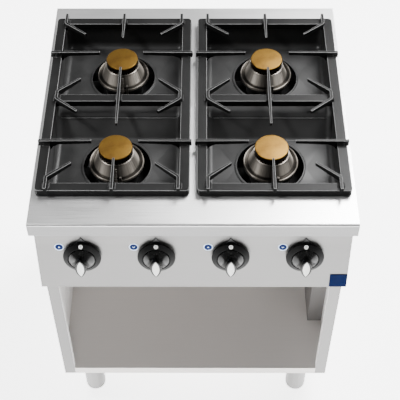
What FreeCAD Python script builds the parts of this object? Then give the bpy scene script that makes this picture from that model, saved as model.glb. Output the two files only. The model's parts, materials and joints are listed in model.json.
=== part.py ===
import FreeCAD, Part
import math
import os
import re

import Sketcher

# A free-standing four-burner gas range on an open base, built from separate pieces.
# Every piece is drawn in the datum of the worktop: X across from the centre line, Y back
# from the front lip, Z up from the worktop's top face. Pieces on the control panel are
# drawn in the panel's datum: Z out of the sloping panel, Y up its slope, X across.

SIZES = {
    # whole range
    "worktop_width": 700,
    "worktop_depth": 700,
    "worktop_height": 850,
    "knob_overhang": 14.7,
    "sheet": 1.5,
    "overrun": 1,
    # worktop
    "skirt_height": 38,
    "front_bend": 6,
    "underside_return": 62,
    "opening_gap": 1,
    # cooking modules, two side by side
    "module_offset": 174,
    "module_centre": 360,
    "burner_offset": 144,
    # drip pans
    "pan_sheet": 1,
    "well_width": 290,
    "well_length": 520,
    "well_depth": 57,
    "well_bend": 15,
    "divider_width": 50,
    "divider_depth": 22,
    "divider_lap": 20,
    "ramp_run": 36,
    "pan_rim": 8,
    "pan_hole_radius": 76,
    "pan_collar_radius": 80.5,
    "pan_collar_rise": 3,
    # pan supports
    "grate_width": 332,
    "grate_length": 560,
    "bar_width": 22,
    "bar_height": 17,
    "grate_corner": 8,
    "finger_top": 30,
    "finger_tip_height": 9,
    "finger_thickness": 6.5,
    "finger_overhang": 4,
    "boss_radius": 8,
    "boss_height": 6,
    "tip_radius": 52,
    "corner_root_inset": 24,
    "corner_straight": 30,
    "corner_tip_across": 92,
    "corner_tip_front": 65,
    "middle_straight": 12,
    "middle_tip_along": 53,
    # burners
    "cap_radius": 38.5,
    "cap_top": 7,
    "cap_roof": 1,
    "cap_bottom": 11,
    "cap_edge": 2,
    "cap_rim_inside": 33,
    "cap_spigot_radius": 24,
    "cap_spigot_wall": 4,
    "cap_spigot_bottom": 18,
    "cap_slot_width": 2,
    "cap_slot_height": 9,
    "cap_slot_count": 36,
    "head_radius": 40.6,
    "head_deck": 5,
    "head_bore_radius": 24.4,
    "head_cavity_radius": 34,
    "cone_top_radius": 39,
    "cone_bottom_radius": 51,
    "head_flange_radius": 62,
    "head_flange_height": 4,
    "head_bottom": 45,
    "base_radius": 61,
    "base_plate": 7,
    "bowl_radius": 46,
    "bowl_wall": 6,
    "bowl_bottom": 95,
    "mixer_radius": 14,
    "mixer_bore": 10,
    "mixer_drop": 79,
    "mixer_reach": 104,
    "bell_radius": 18,
    "bell_length": 16,
    "bell_wall": 2,
    "injector_radius": 7,
    "injector_tip_radius": 4,
    "injector_tip_length": 10,
    "injector_gap": 2,
    "injector_length": 36,
    "supply_reach": 132,
    "pilot_reach": 67,
    "pilot_radius": 3.5,
    "pilot_knee": 40,
    "pilot_lean": 33.4,
    "pilot_length": 33.6,
    "probe_top": 19,
    "pilot_bracket_top": 61,
    "pilot_bracket_sheet": 3,
    "probe_radius": 2.5,
    "probe_offset": 13,
    # cross members under the burners
    "channel_width": 60,
    "channel_height": 20,
    # control panel
    "panel_setback": 52.5,
    "panel_slope": 215.4,
    "panel_tilt": 9,
    "panel_fold": 2.3,
    "spindle_hole_radius": 15,
    "knob_slope": 114,
    "inner_knob_x": 82.5,
    "outer_knob_x": 248,
    "badge_size": 40,
    "badge_thickness": 1.6,
    # knobs
    "bezel_radius": 37,
    "bezel_hole_radius": 20,
    "bezel_thickness": 3,
    "pointer_reach": 54,
    "pointer_width": 30,
    "pointer_root": 32,
    "knob_skirt_radius": 42,
    "knob_skirt_lift": 8,
    "knob_skirt_lip": 4,
    "knob_recess": 3,
    "knob_recess_inset": 6,
    "knob_skirt_edge": 1.5,
    "knob_skirt_height": 8,
    "knob_ring_radius": 31.5,
    "knob_groove_radius": 30.5,
    "knob_groove_depth": 3,
    "hub_radius": 29,
    "hub_shoulder": 2,
    "hub_top_radius": 13,
    "hub_top": 42,
    "handle_top": 46,
    "handle_length": 50,
    "handle_width": 24,
    "spindle_radius": 4,
    "spindle_fit": 0.05,
    "spindle_outer_end": 28,
    "spindle_inner_end": 34,
    # gas taps
    "tap_front": 19,
    "tap_back": 62,
    "tap_radius": 16,
    "tap_bore_radius": 4.3,
    "tap_chamber_front": 30,
    "tap_chamber_back": 58,
    "tap_chamber_radius": 10.3,
    "tap_nipple_end": 66,
    "tap_nipple_radius": 6,
    "tap_outlet_radius": 5.5,
    "tap_outlet_reach": 22,
    "tap_outlet_depth": 45,
    "gas_bore_radius": 3,
    "plug_radius": 10,
    "plug_end_gap": 0.5,
    "plug_bore_depth": 14.5,
    "manifold_depth": 75,
    "manifold_radius": 12,
    "manifold_wall": 2,
    "manifold_half_length": 300,
    "supply_radius": 4,
    "supply_wall": 1,
    "supply_bend": 7,
    "supply_level": 124,
    # gas connection
    "riser_x": 325,
    "riser_y": 580,
    "riser_radius": 8,
    "riser_wall": 1.5,
    "riser_bend": 18,
    "inlet_drop": 560,
    "inlet_start": 618,
    "inlet_end": 686,
    "inlet_thread_radius": 10.48,
    "inlet_thread_start": 656,
    "inlet_body_radius": 12,
    "inlet_bore": 7,
    "riser_cover_x": 310,
    "riser_cover_y": 212,
    "riser_cover_sheet": 1,
    # cabinet
    "cabinet_front": 61.3,
    "cabinet_back": 650,
    "cabinet_bottom": 725.4,
    "stile_width": 28,
    "stile_return": 15,
    "rear_fold": 12,
    "tongue_bottom": 60,
    "rail_height": 26.4,
    "rail_return": 17,
    "shield_drop": 205,
    "shield_front": 77,
    "back_panel_top": 60,
    "screw_radius": 4,
    "screw_inset": 40,
    "screw_height": 2.5,
    # feet
    "foot_x": 280,
    "front_foot_y": 106,
    "rear_foot_y": 600,
    "sleeve_radius": 27,
    "sleeve_bore": 25.5,
    "sleeve_bottom": 12,
    "sleeve_plate": 90,
    "sleeve_plate_front": 22.5,
    "sleeve_plate_sheet": 3,
    "foot_pad_radius": 26.5,
    "foot_edge": 4,
    "foot_stem_radius": 25.2,
    "foot_stem_top": 82,
}

doc = FreeCAD.newDocument("gas_range")
dims = doc.addObject("Spreadsheet::Sheet", "dims")
for row, (alias, size) in enumerate(SIZES.items(), 1):
    dims.set(f"A{row}", alias)
    dims.set(f"B{row}", str(size))
    dims.setAlias(f"B{row}", alias)
doc.recompute()

V = FreeCAD.Vector
X_AXIS = V(1, 0, 0)
Y_AXIS = V(0, 1, 0)
Z_AXIS = V(0, 0, 1)
NODES = []
NEAR = 0.01
START_RING = 10

LIP_Y = "(knob_overhang - worktop_depth) / 2"
HALF = "worktop_width / 2"
INSIDE = "worktop_width / 2 - sheet"
KNOB_Y = "(panel_setback - knob_slope * sin(panel_tilt))"
KNOB_Z = "(-skirt_height - knob_slope * cos(panel_tilt))"
PANEL_BOTTOM_Y = "(panel_setback - panel_slope * sin(panel_tilt))"
PANEL_BOTTOM_Z = "(-skirt_height - panel_slope * cos(panel_tilt))"
MANIFOLD_Y = f"({KNOB_Y} + manifold_depth * cos(panel_tilt))"
MANIFOLD_Z = f"({KNOB_Z} - manifold_depth * sin(panel_tilt))"
SHELF_Z = "(rail_height - cabinet_bottom)"
WELL_FRONT = "(module_centre - well_length / 2)"
WELL_BACK = "(module_centre + well_length / 2)"


# ---------------------------------------------------------------- small helpers

def formula(text):
    """The expression with each size written as a cell of the sheet."""
    return re.sub(r"[a-z]\w+", lambda m: f"dims.{m[0]}" if m[0] in SIZES else m[0], str(text))


def cell(alias):
    return float(dims.get(alias))


def bind(piece, **texts):
    for name, text in texts.items():
        piece.setExpression(name, formula(text))


def move(piece, x=0, y=0, z=0):
    for axis, text in (("x", x), ("y", y), ("z", z)):
        piece.setExpression(f"Placement.Base.{axis}", formula(text))
    return piece


def turn(piece, axis, angle):
    piece.Placement = FreeCAD.Placement(V(), FreeCAD.Rotation(axis, 1))
    piece.setExpression("Placement.Rotation.Angle", formula(angle))
    return piece


def box(name, across, along, up):
    """A block between the two ends given for X, Y and Z."""
    piece = doc.addObject("Part::Box", name)
    spans = [f"({high}) - ({low})" for low, high in (across, along, up)]
    bind(piece, Length=spans[0], Width=spans[1], Height=spans[2])
    return move(piece, across[0], along[0], up[0])


def rod(name, radius, span, axis=Z_AXIS, x=0, y=0, z=0, end_radius=None):
    """A cylinder, or a cone when end_radius is given, along an axis between two ends."""
    piece = doc.addObject("Part::Cylinder" if end_radius is None else "Part::Cone", name)
    if end_radius is None:
        bind(piece, Radius=radius, Height=f"({span[1]}) - ({span[0]})")
    else:
        bind(piece, Radius1=radius, Radius2=end_radius, Height=f"({span[1]}) - ({span[0]})")
    if axis == X_AXIS:
        return move(turn(piece, Y_AXIS, 90), span[0], y, z)
    if axis == Y_AXIS:
        return move(turn(piece, X_AXIS, -90), x, span[0], z)
    return move(piece, x, y, span[0])


def fuse(name, pieces):
    piece = doc.addObject("Part::MultiFuse", name)
    piece.Shapes = pieces
    return piece


def cut(name, base, tools):
    piece = doc.addObject("Part::Cut", name)
    piece.Base = base
    piece.Tool = tools[0] if len(tools) == 1 else fuse(name + "_tools", tools)
    return piece


def common(name, pieces):
    piece = doc.addObject("Part::MultiCommon", name)
    piece.Shapes = pieces
    return piece


def group(name, pieces):
    piece = doc.addObject("Part::Compound", name)
    piece.Links = pieces
    return piece


def rounded(name, base, radius, chosen):
    """Round the edges of base that chosen(edge) picks."""
    doc.recompute()
    piece = doc.addObject("Part::Fillet", name)
    piece.Base = base
    size = cell(radius)
    edges = enumerate(base.Shape.Edges, 1)
    piece.Edges = [(number, size, size) for number, edge in edges if chosen(edge)]
    return piece


def new_body(name):
    return doc.addObject("PartDesign::Body", name)


def sketch_on(body, name, role, offset=0):
    plane = [f for f in body.Origin.OriginFeatures if f.Role == role][0]
    sketch = body.newObject("Sketcher::SketchObject", name)
    sketch.AttachmentSupport = [(plane, "")]
    sketch.MapMode = "FlatFace"
    sketch.setExpression("AttachmentOffset.Base.z", formula(offset))
    return sketch


def pin(sketch, geometry, point, x, y):
    """Hold a point of the sketch at x, y from the sketch's origin."""
    for kind, text, zero_axis in (("DistanceX", x, -2), ("DistanceY", y, -1)):
        if str(text) == "0":
            sketch.addConstraint(Sketcher.Constraint("PointOnObject", geometry, point, zero_axis))
            continue
        number = sketch.addConstraint(Sketcher.Constraint(kind, -1, 1, geometry, point, 1.0))
        sketch.setExpression(f"Constraints[{number}]", formula(text))


def outline(sketch, corners):
    """A closed outline of straight lines through corners held by the sheet's sizes."""
    count = len(corners)
    first = sketch.GeometryCount
    turns = [2 * math.pi * index / count for index in range(count + 1)]
    ring = [V(START_RING * math.cos(a), START_RING * math.sin(a), 0) for a in turns]
    for start, end in zip(ring, ring[1:]):
        sketch.addGeometry(Part.LineSegment(start, end), False)
    for index in range(count):
        following = first + (index + 1) % count
        sketch.addConstraint(Sketcher.Constraint("Coincident", first + index, 2, following, 1))
    for index, (x, y) in enumerate(corners):
        pin(sketch, first + index, 1, x, y)
    return sketch


def revolved(name, corners):
    """A body turned about Z from an outline of (radius, height) corners."""
    body = new_body(name)
    profile = outline(sketch_on(body, name + "_profile", "XZ_Plane"), corners)
    feature = body.newObject("PartDesign::Revolution", name + "_turned")
    feature.Profile = profile
    feature.ReferenceAxis = (profile, ["V_Axis"])
    feature.Angle = 360
    return body


def padded(body, name, sketch, length, middle=False, reverse=False):
    feature = body.newObject("PartDesign::Pad", name)
    feature.Profile = sketch
    feature.Midplane = middle
    feature.Reversed = reverse
    feature.setExpression("Length", formula(length))
    return feature


def pocketed(body, name, sketch, length, middle=False, reverse=False):
    feature = body.newObject("PartDesign::Pocket", name)
    feature.Profile = sketch
    feature.Midplane = middle
    feature.Reversed = reverse
    feature.setExpression("Length", formula(length))
    return feature


def tube_along(points, bend, radius, wall):
    """A tube through straight runs joined by tangent arcs of one bend radius."""
    edges = []
    start = points[0]
    for before, corner, after in zip(points, points[1:], points[2:]):
        back = (before - corner).normalize()
        ahead = (after - corner).normalize()
        half_turn = (math.pi - back.getAngle(ahead)) / 2
        reach = bend * math.tan(half_turn)
        middle = corner + (back + ahead).normalize() * (bend / math.cos(half_turn) - bend)
        edges.append(Part.LineSegment(start, corner + back * reach).toShape())
        arc = Part.Arc(corner + back * reach, middle, corner + ahead * reach)
        edges.append(arc.toShape())
        start = corner + ahead * reach
    edges.append(Part.LineSegment(start, points[-1]).toShape())
    spine = Part.Wire(edges)
    heading = points[1] - points[0]
    skins = []
    for size in (radius, radius - wall):
        ring = Part.Wire([Part.makeCircle(size, points[0], heading)])
        skins.append(spine.makePipeShell([ring], True, True))
    return skins[0].cut(skins[1])


def keep(node, piece):
    """Keep a piece drawn in the worktop's datum as the sub-part called node."""
    move(piece, 0, LIP_Y, "worktop_height")
    piece.Label = node
    NODES.append(piece)


def on_panel(piece, x):
    """Stand a piece drawn in the panel's datum at a knob's place on the panel."""
    turn(piece, X_AXIS, "90 - panel_tilt")
    return move(piece, x, KNOB_Y, KNOB_Z)


def keep_on_panel(node, piece, x):
    turn(piece, X_AXIS, "90 - panel_tilt")
    move(piece, x, f"{LIP_Y} + {KNOB_Y}", f"worktop_height + {KNOB_Z}")
    piece.Label = node
    NODES.append(piece)


def mirrored(side, low, high):
    """The span low..high on the right side, or its mirror image on the left."""
    return (low, high) if side > 0 else (f"-({high})", f"-({low})")


def is_upright(edge):
    first, last = edge.Vertexes[0].Point, edge.Vertexes[-1].Point
    return abs(first.x - last.x) < NEAR and abs(first.y - last.y) < NEAR


def runs_back(edge):
    first, last = edge.Vertexes[0].Point, edge.Vertexes[-1].Point
    return abs(first.x - last.x) < NEAR and abs(first.z - last.z) < NEAR


def is_sloping(edge):
    first, last = edge.Vertexes[0].Point, edge.Vertexes[-1].Point
    return abs(first.y - last.y) > NEAR and abs(first.z - last.z) > NEAR


def is_at_bottom(edge, shape):
    return max(vertex.Z for vertex in edge.Vertexes) < shape.BoundBox.ZMin + NEAR


# ---------------------------------------------------------------- worktop

def make_worktop():
    """A folded top: skirt all round, a return under the front lip and two openings."""
    block = box("worktop_block", (f"-{HALF}", HALF), (0, "worktop_depth"), ("-skirt_height", 0))

    def front_top(edge):
        return all(abs(v.Y) < NEAR and abs(v.Z) < NEAR for v in edge.Vertexes)

    skin = rounded("worktop_skin", block, "front_bend", front_top)
    hollow = box(
        "worktop_hollow",
        (f"-({INSIDE})", INSIDE),
        ("sheet", "worktop_depth - sheet"),
        ("sheet - skirt_height", "-sheet"),
    )

    def front_top_inside(edge):
        return all(v.Y < 2 * cell("sheet") and v.Z > -2 * cell("sheet") for v in edge.Vertexes)

    inner = rounded("worktop_inner", hollow, "front_bend", front_top_inside)
    mouth = box(
        "worktop_mouth",
        (f"-({INSIDE})", INSIDE),
        ("underside_return", "worktop_depth - sheet"),
        ("-skirt_height - overrun", "2 * sheet - skirt_height"),
    )
    margin = "(pan_sheet + opening_gap)"
    tools = [inner, mouth]
    for side in (-1, 1):
        centre = f"({side} * module_offset)"
        tools.append(box(
            "module_opening",
            (f"{centre} - well_width / 2 - {margin}", f"{centre} + well_width / 2 + {margin}"),
            (f"{WELL_FRONT} - {margin}", f"{WELL_BACK} + {margin}"),
            ("-2 * sheet", "sheet"),
        ))
    keep("worktop", cut("worktop_folded", skin, tools))


# ---------------------------------------------------------------- drip pans

def make_drip_pan(node, side, rear):
    """A deep-drawn pan with a ramp up to the divider, where the rear pan laps over the front."""
    centre = f"({side} * module_offset)"
    half = "well_width / 2"
    slope = "(ramp_run / (well_depth - divider_depth))"
    divider_front = "(module_centre - divider_width / 2)"
    divider_back = "(module_centre + divider_width / 2)"
    top = "pan_sheet"
    if rear:
        wall, ramp, way = WELL_BACK, divider_back, "-1"
    else:
        wall, ramp, way = WELL_FRONT, divider_front, "1"

    def tub(name, grow, upper):
        """The pan's space, or its outside when grown by the sheet's thickness."""
        body = new_body(name)
        straight = f"({wall} - {way} * {grow})"
        foot = f"({ramp} + {way} * ({grow} - (well_depth + {grow} - divider_depth) * {slope}))"
        brow = f"({ramp} + {way} * ({grow} + ({upper} + divider_depth) * {slope}))"
        section = outline(sketch_on(body, name + "_section", "YZ_Plane"), [
            (straight, f"-(well_depth + {grow})"), (foot, f"-(well_depth + {grow})"),
            (brow, upper), (straight, upper),
        ])
        padded(body, name + "_block", section, f"well_width + 2 * {grow}", middle=True)
        move(body, centre)
        doc.recompute()
        return rounded(name + "_round", body, "well_bend", lambda edge: (
            is_upright(edge) or is_at_bottom(edge, body.Shape) or is_sloping(edge)))

    def channel(name, grow, low, ends):
        """A trough along the divider with round bottom edges."""
        across = (f"{centre} - {half} - {grow}", f"{centre} + {half} + {grow}")
        block = box(name, across, ends, (low, f"2 * {top} - {grow}"))
        doc.recompute()
        return rounded(name + "_round", block, "well_bend", lambda edge: (
            runs_back(edge) and is_at_bottom(edge, block.Shape)))

    outside = tub(node + "_outside", "pan_sheet", top)
    inside = tub(node + "_inside", "0", f"2 * {top}")
    if rear:
        rim = (divider_front, f"{WELL_BACK} + pan_rim")
        ends = (divider_front, f"{divider_back} + pan_sheet")
        step = channel(node + "_step", "pan_sheet", "-divider_depth - pan_sheet", ends)
        space = channel(
            node + "_step_space", "0", "-divider_depth", (f"{divider_front} - pan_sheet", ends[1]))
    else:
        rim = (f"{WELL_FRONT} - pan_rim", divider_front)
        lap = "-divider_depth - pan_sheet"
        step = box(
            node + "_lap", (f"{centre} - {half}", f"{centre} + {half}"),
            (f"{divider_front} - 2 * pan_sheet", f"{divider_front} + divider_lap"),
            (f"{lap} - pan_sheet", lap))
        space = box(
            node + "_lap_space", (f"{centre} - {half} - pan_rim", f"{centre} + {half} + pan_rim"),
            (divider_front, f"{divider_front} + 2 * divider_lap"), (lap, f"2 * {top}"))
    flange = box(
        node + "_flange",
        (f"{centre} - {half} - pan_rim", f"{centre} + {half} + pan_rim"), rim, (0, top))
    burner_y = f"(module_centre {'+' if rear else '-'} burner_offset)"
    collar = rod(
        node + "_collar", "pan_collar_radius",
        ("-well_depth - pan_sheet", "pan_collar_rise - well_depth"), x=centre, y=burner_y,
    )
    hole = rod(
        node + "_hole", "pan_hole_radius",
        ("-well_depth - 2 * pan_sheet", "-well_depth / 2"), x=centre, y=burner_y,
    )
    shell = cut(node + "_shell", fuse(node + "_solids", [flange, outside, step]), [inside, space])
    keep(node, cut(node + "_pierced", fuse(node + "_with_collar", [shell, collar]), [hole]))


# ---------------------------------------------------------------- pan supports

def make_grate(node, side):
    """A cast frame with a crossbar and fingers that reach over two burners."""
    centre = f"({side} * module_offset)"
    half_w = "grate_width / 2"
    half_l = "grate_length / 2"
    low = "pan_sheet"
    top = "(pan_sheet + bar_height)"
    outer = box(
        node + "_outer",
        (f"{centre} - {half_w}", f"{centre} + {half_w}"),
        (f"module_centre - {half_l}", f"module_centre + {half_l}"),
        (low, top),
    )
    frame = rounded(node + "_frame", outer, "grate_corner", is_upright)
    windows = []
    for ahead in (-1, 1):
        near = "module_centre + bar_width / 2"
        far = f"module_centre + {half_l} - bar_width"
        if ahead < 0:
            near, far = f"module_centre - {half_l} + bar_width", "module_centre - bar_width / 2"
        windows.append(box(
            node + "_window",
            (f"{centre} - {half_w} + bar_width", f"{centre} + {half_w} - bar_width"),
            (near, far),
            (f"{low} - overrun", f"{top} + overrun"),
        ))
    pieces = [cut(node + "_bars", frame, windows)]

    def finger(x, y, heading, length, gusset=True):
        """A blade from its root on a bar, x, y, along heading in degrees, with a boss."""
        blade = box(
            node + "_blade",
            ("-finger_overhang - bar_width / 2", length),
            ("-finger_thickness / 2", "finger_thickness / 2"),
            ("finger_top - finger_tip_height", "finger_top"),
        )
        root = box(
            node + "_root",
            ("-finger_overhang - bar_width / 2", "bar_width / 2 + boss_radius"),
            ("-finger_thickness / 2", "finger_thickness / 2"),
            (f"{top} - overrun", "finger_top - finger_tip_height / 2"),
        )
        boss = rod(node + "_boss", "boss_radius", (f"{top} - overrun", f"{top} + boss_height"))
        parts = [blade, root, boss]
        if gusset:
            heel = doc.addObject("Part::Wedge", node + "_heel")
            bind(
                heel,
                Xmin="bar_width / 2 - overrun", Xmax="bar_width / 2 + boss_radius",
                X2min="bar_width / 2 - overrun", X2max="bar_width + 2 * boss_radius",
                Zmin="-finger_thickness / 2", Zmax="finger_thickness / 2",
                Z2min="-finger_thickness / 2", Z2max="finger_thickness / 2",
                Ymin=0, Ymax=f"finger_top - finger_tip_height / 2 - {low} - overrun",
            )
            heel.Placement = FreeCAD.Placement(V(), FreeCAD.Rotation(X_AXIS, 90))
            parts.append(move(heel, 0, 0, f"{low} + overrun"))
        joined = fuse(node + "_finger", parts)
        turn(joined, Z_AXIS, heading)
        pieces.append(move(joined, x, y, 0))

    def arm(x, y, across, along):
        """A blade from a bend at x, y to its tip, offset by across and along."""
        blade = box(
            node + "_arm",
            ("-finger_thickness / 2", f"sqrt(({across}) ^ 2 + ({along}) ^ 2)"),
            ("-finger_thickness / 2", "finger_thickness / 2"),
            ("finger_top - finger_tip_height", "finger_top"),
        )
        held = group(node + "_arm_held", [blade])
        turn(held, Z_AXIS, f"atan2({along}; {across})")
        pieces.append(move(held, x, y, 0))

    bar_mid = "bar_width / 2"
    reach_side = f"{half_w} - {bar_mid} - tip_radius"
    reach_end = f"{half_l} - burner_offset - {bar_mid} - tip_radius"
    for ahead in (-1, 1):
        burner_y = f"module_centre + ({ahead}) * burner_offset"
        for hand in (-1, 1):
            root_x = f"{centre} + ({hand}) * ({half_w} - {bar_mid})"
            finger(root_x, burner_y, 180 if hand > 0 else 0, reach_side)
            corner_x = f"{centre} + ({hand}) * ({half_w} - corner_root_inset)"
            end_y = f"module_centre + ({ahead}) * ({half_l} - {bar_mid})"
            finger(corner_x, end_y, -90 * ahead, "corner_straight - bar_width / 2", False)
            bend_y = f"{end_y} - ({ahead}) * (corner_straight - bar_width / 2)"
            inward = f"({-hand}) * ({half_w} - corner_root_inset - corner_tip_across)"
            tip_along = f"module_centre + ({ahead}) * (burner_offset + corner_tip_front)"
            arm(corner_x, bend_y, inward, f"{tip_along} - ({bend_y})")
            middle_y = f"module_centre + ({ahead}) * middle_straight"
            arm(corner_x, middle_y, inward, f"({ahead}) * (middle_tip_along - middle_straight)")
        finger(centre, f"module_centre + ({ahead}) * ({half_l} - {bar_mid})", -90 * ahead, reach_end)
        finger(centre, "module_centre", 90 * ahead, "burner_offset - tip_radius")
    for hand in (-1, 1):
        corner_x = f"{centre} + ({hand}) * ({half_w} - corner_root_inset)"
        pieces.append(box(
            node + "_saddle",
            (f"{corner_x} - finger_thickness / 2", f"{corner_x} + finger_thickness / 2"),
            ("module_centre - middle_straight", "module_centre + middle_straight"),
            (f"{top} - overrun", "finger_top"),
        ))
    keep(node, fuse(node + "_casting", pieces))


# ---------------------------------------------------------------- burners

def make_burner(number, side, rear):
    """One open burner: base with mixing tube, conical head and loose brass cap."""
    x = f"({side} * module_offset)"
    y = f"(module_centre {'+' if rear else '-'} burner_offset)"

    base = revolved(f"burner_base_{number}_casting", [
        (0, "-bowl_bottom"), ("bowl_radius", "-bowl_bottom"),
        ("bowl_radius", "-head_bottom - base_plate"), ("base_radius", "-head_bottom - base_plate"),
        ("base_radius", "-head_bottom"), ("bowl_radius - bowl_wall", "-head_bottom"),
        ("bowl_radius - bowl_wall", "bowl_wall - bowl_bottom"), (0, "bowl_wall - bowl_bottom"),
    ])
    mixer = rod(
        f"mixer_{number}", "mixer_radius", ("-mixer_reach", "overrun - bowl_radius"), Y_AXIS,
        z="-mixer_drop")
    bell = rod(
        f"bell_{number}", "bell_radius", ("-mixer_reach", "bell_length - mixer_reach"), Y_AXIS,
        z="-mixer_drop", end_radius="mixer_radius")
    bore = rod(
        f"mixer_bore_{number}", "mixer_bore", ("-mixer_reach - overrun", "3 * bowl_wall - bowl_radius"),
        Y_AXIS, z="-mixer_drop")
    flare = rod(
        f"bell_bore_{number}", "bell_radius - bell_wall", ("-mixer_reach", "bell_length - mixer_reach"),
        Y_AXIS, z="-mixer_drop", end_radius="mixer_bore")
    drilled = cut(f"burner_base_{number}_drilled", fuse(f"base_with_tube_{number}", [
        base, mixer, bell]), [bore, flare])
    place_burner_piece(f"burner_base_{number}", drilled, x, y)

    head = revolved(f"burner_head_{number}_casting", [
        ("head_bore_radius", "-cap_bottom - head_deck"), ("head_bore_radius", "-cap_bottom"),
        ("head_radius", "-cap_bottom"), ("head_radius", "-cap_bottom - head_deck"),
        ("cone_top_radius", "-cap_bottom - head_deck - cap_edge"),
        ("cone_bottom_radius", "head_flange_height - head_bottom"),
        ("head_flange_radius", "head_flange_height - head_bottom"),
        ("head_flange_radius", "-head_bottom"),
        ("cone_bottom_radius - bowl_wall", "-head_bottom"),
        ("head_cavity_radius", "-cap_bottom - 2 * head_deck"),
        ("head_cavity_radius", "-cap_bottom - head_deck"),
    ])
    place_burner_piece(f"burner_head_{number}", head, x, y)

    cap = revolved(f"burner_cap_{number}_blank", [
        (0, "cap_roof"), ("cap_spigot_radius - cap_spigot_wall", "cap_roof"),
        ("cap_spigot_radius - cap_spigot_wall", "-cap_spigot_bottom"),
        ("cap_spigot_radius", "-cap_spigot_bottom"), ("cap_spigot_radius", "cap_roof"),
        ("cap_rim_inside", "cap_roof"), ("cap_rim_inside", "-cap_bottom"), ("cap_radius", "-cap_bottom"),
        ("cap_radius", "cap_top - cap_edge"), ("cap_radius - cap_edge", "cap_top"), (0, "cap_top"),
    ])
    slot = sketch_on(cap, f"cap_{number}_slot", "XY_Plane", "-cap_bottom")
    outline(slot, [
        ("cap_rim_inside - overrun", "-cap_slot_width / 2"), ("cap_radius + overrun", "-cap_slot_width / 2"),
        ("cap_radius + overrun", "cap_slot_width / 2"), ("cap_rim_inside - overrun", "cap_slot_width / 2"),
    ])
    doc.recompute()
    blank_volume = cap.Shape.Volume
    port = pocketed(cap, f"cap_{number}_port", slot, "cap_slot_height", reverse=True)
    ports = cap.newObject("PartDesign::PolarPattern", f"cap_{number}_ports")
    ports.Originals = [port]
    ports.Axis = ([f for f in cap.Origin.OriginFeatures if f.Role == "Z_Axis"][0], [""])
    ports.Angle = 360
    bind(ports, Occurrences="cap_slot_count")
    cap.Tip = ports
    doc.recompute()
    port_volume = (
        cell("cap_slot_width") * cell("cap_slot_height")
        * (cell("cap_radius") - cell("cap_rim_inside")) * cell("cap_slot_count")
    )
    assert abs(blank_volume - cap.Shape.Volume - port_volume) < 0.02 * port_volume, "cap ports"
    place_burner_piece(f"burner_cap_{number}", cap, x, y)


def place_burner_piece(node, piece, x, y):
    move(piece, x, f"{LIP_Y} + {y}", "worktop_height")
    piece.Label = node
    NODES.append(piece)


def burner_places():
    """The four burners, numbered like their knobs from the left."""
    return [(-1, True), (-1, False), (1, True), (1, False)]


def make_burner_fittings():
    """Injectors, pilot burners and flame probes, alike at every burner."""
    injectors = []
    pilots = []
    probes = []
    for number, (side, rear) in enumerate(burner_places(), 1):
        x = f"({side} * module_offset)"
        y = f"(module_centre {'+' if rear else '-'} burner_offset)"
        tip = f"{y} - mixer_reach - injector_gap"
        neck = f"{tip} - injector_tip_length"
        nose = rod(
            f"injector_nose_{number}", "injector_radius", (neck, tip), Y_AXIS, x=x,
            z="-mixer_drop", end_radius="injector_tip_radius")
        holder = rod(
            f"injector_holder_{number}", "injector_radius", (f"{tip} - injector_length", neck),
            Y_AXIS, x=x, z="-mixer_drop")
        injectors.append(fuse(f"injector_{number}", [holder, nose]))
        bracket = box(
            f"pilot_bracket_{number}", (f"{x} - 2 * pilot_radius", f"{x} + 2 * pilot_radius"),
            (f"{y} - pilot_reach - 2 * pilot_radius", f"{y} - bowl_radius - overrun"),
            ("-pilot_bracket_top - pilot_bracket_sheet", "-pilot_bracket_top"),
        )
        stem = rod(
            f"pilot_stem_{number}", "pilot_radius", ("-pilot_bracket_top - overrun", "-pilot_knee"),
            x=x, y=f"{y} - pilot_reach")
        tube = rod(f"pilot_tube_{number}", "pilot_radius", (0, "pilot_length"))
        move(turn(tube, X_AXIS, "-pilot_lean"), x, f"{y} - pilot_reach", "-pilot_knee")
        pilots.append(fuse(f"pilot_{number}", [bracket, stem, group(f"pilot_arm_{number}", [tube])]))
        clip = box(
            f"probe_clip_{number}",
            (f"{x} + 2 * pilot_radius", f"{x} + probe_offset + 2 * probe_radius"),
            (f"{y} - pilot_reach - 2 * probe_radius", f"{y} - pilot_reach + 2 * probe_radius"),
            ("-pilot_bracket_top - pilot_bracket_sheet", "-pilot_bracket_top"),
        )
        probe = rod(
            f"probe_rod_{number}", "probe_radius", ("-pilot_bracket_top - overrun", "-probe_top"),
            x=f"{x} + probe_offset", y=f"{y} - pilot_reach")
        probes.append(fuse(f"probe_{number}", [clip, probe]))
    keep("injectors", group("injector_set", injectors))
    keep("pilot_burners", group("pilot_set", pilots))
    keep("thermocouples", group("probe_set", probes))


def make_cross_member(node, rear):
    """A folded channel between the side panels that carries two burner bases."""
    y = f"(module_centre {'+' if rear else '-'} burner_offset)"
    across = (f"-({INSIDE})", INSIDE)
    whole = box(
        node + "_whole", across, (f"{y} - channel_width / 2", f"{y} + channel_width / 2"),
        ("-bowl_bottom - channel_height", "-bowl_bottom"))
    inner = box(
        node + "_inner", (f"-({HALF})", HALF),
        (f"{y} - channel_width / 2 + sheet", f"{y} + channel_width / 2 - sheet"),
        ("-bowl_bottom - channel_height - overrun", "-bowl_bottom - sheet"))
    keep(node, cut(node + "_channel", whole, [inner]))


# ---------------------------------------------------------------- control panel and taps

def knob_places():
    return ["-outer_knob_x", "-inner_knob_x", "inner_knob_x", "outer_knob_x"]


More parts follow.
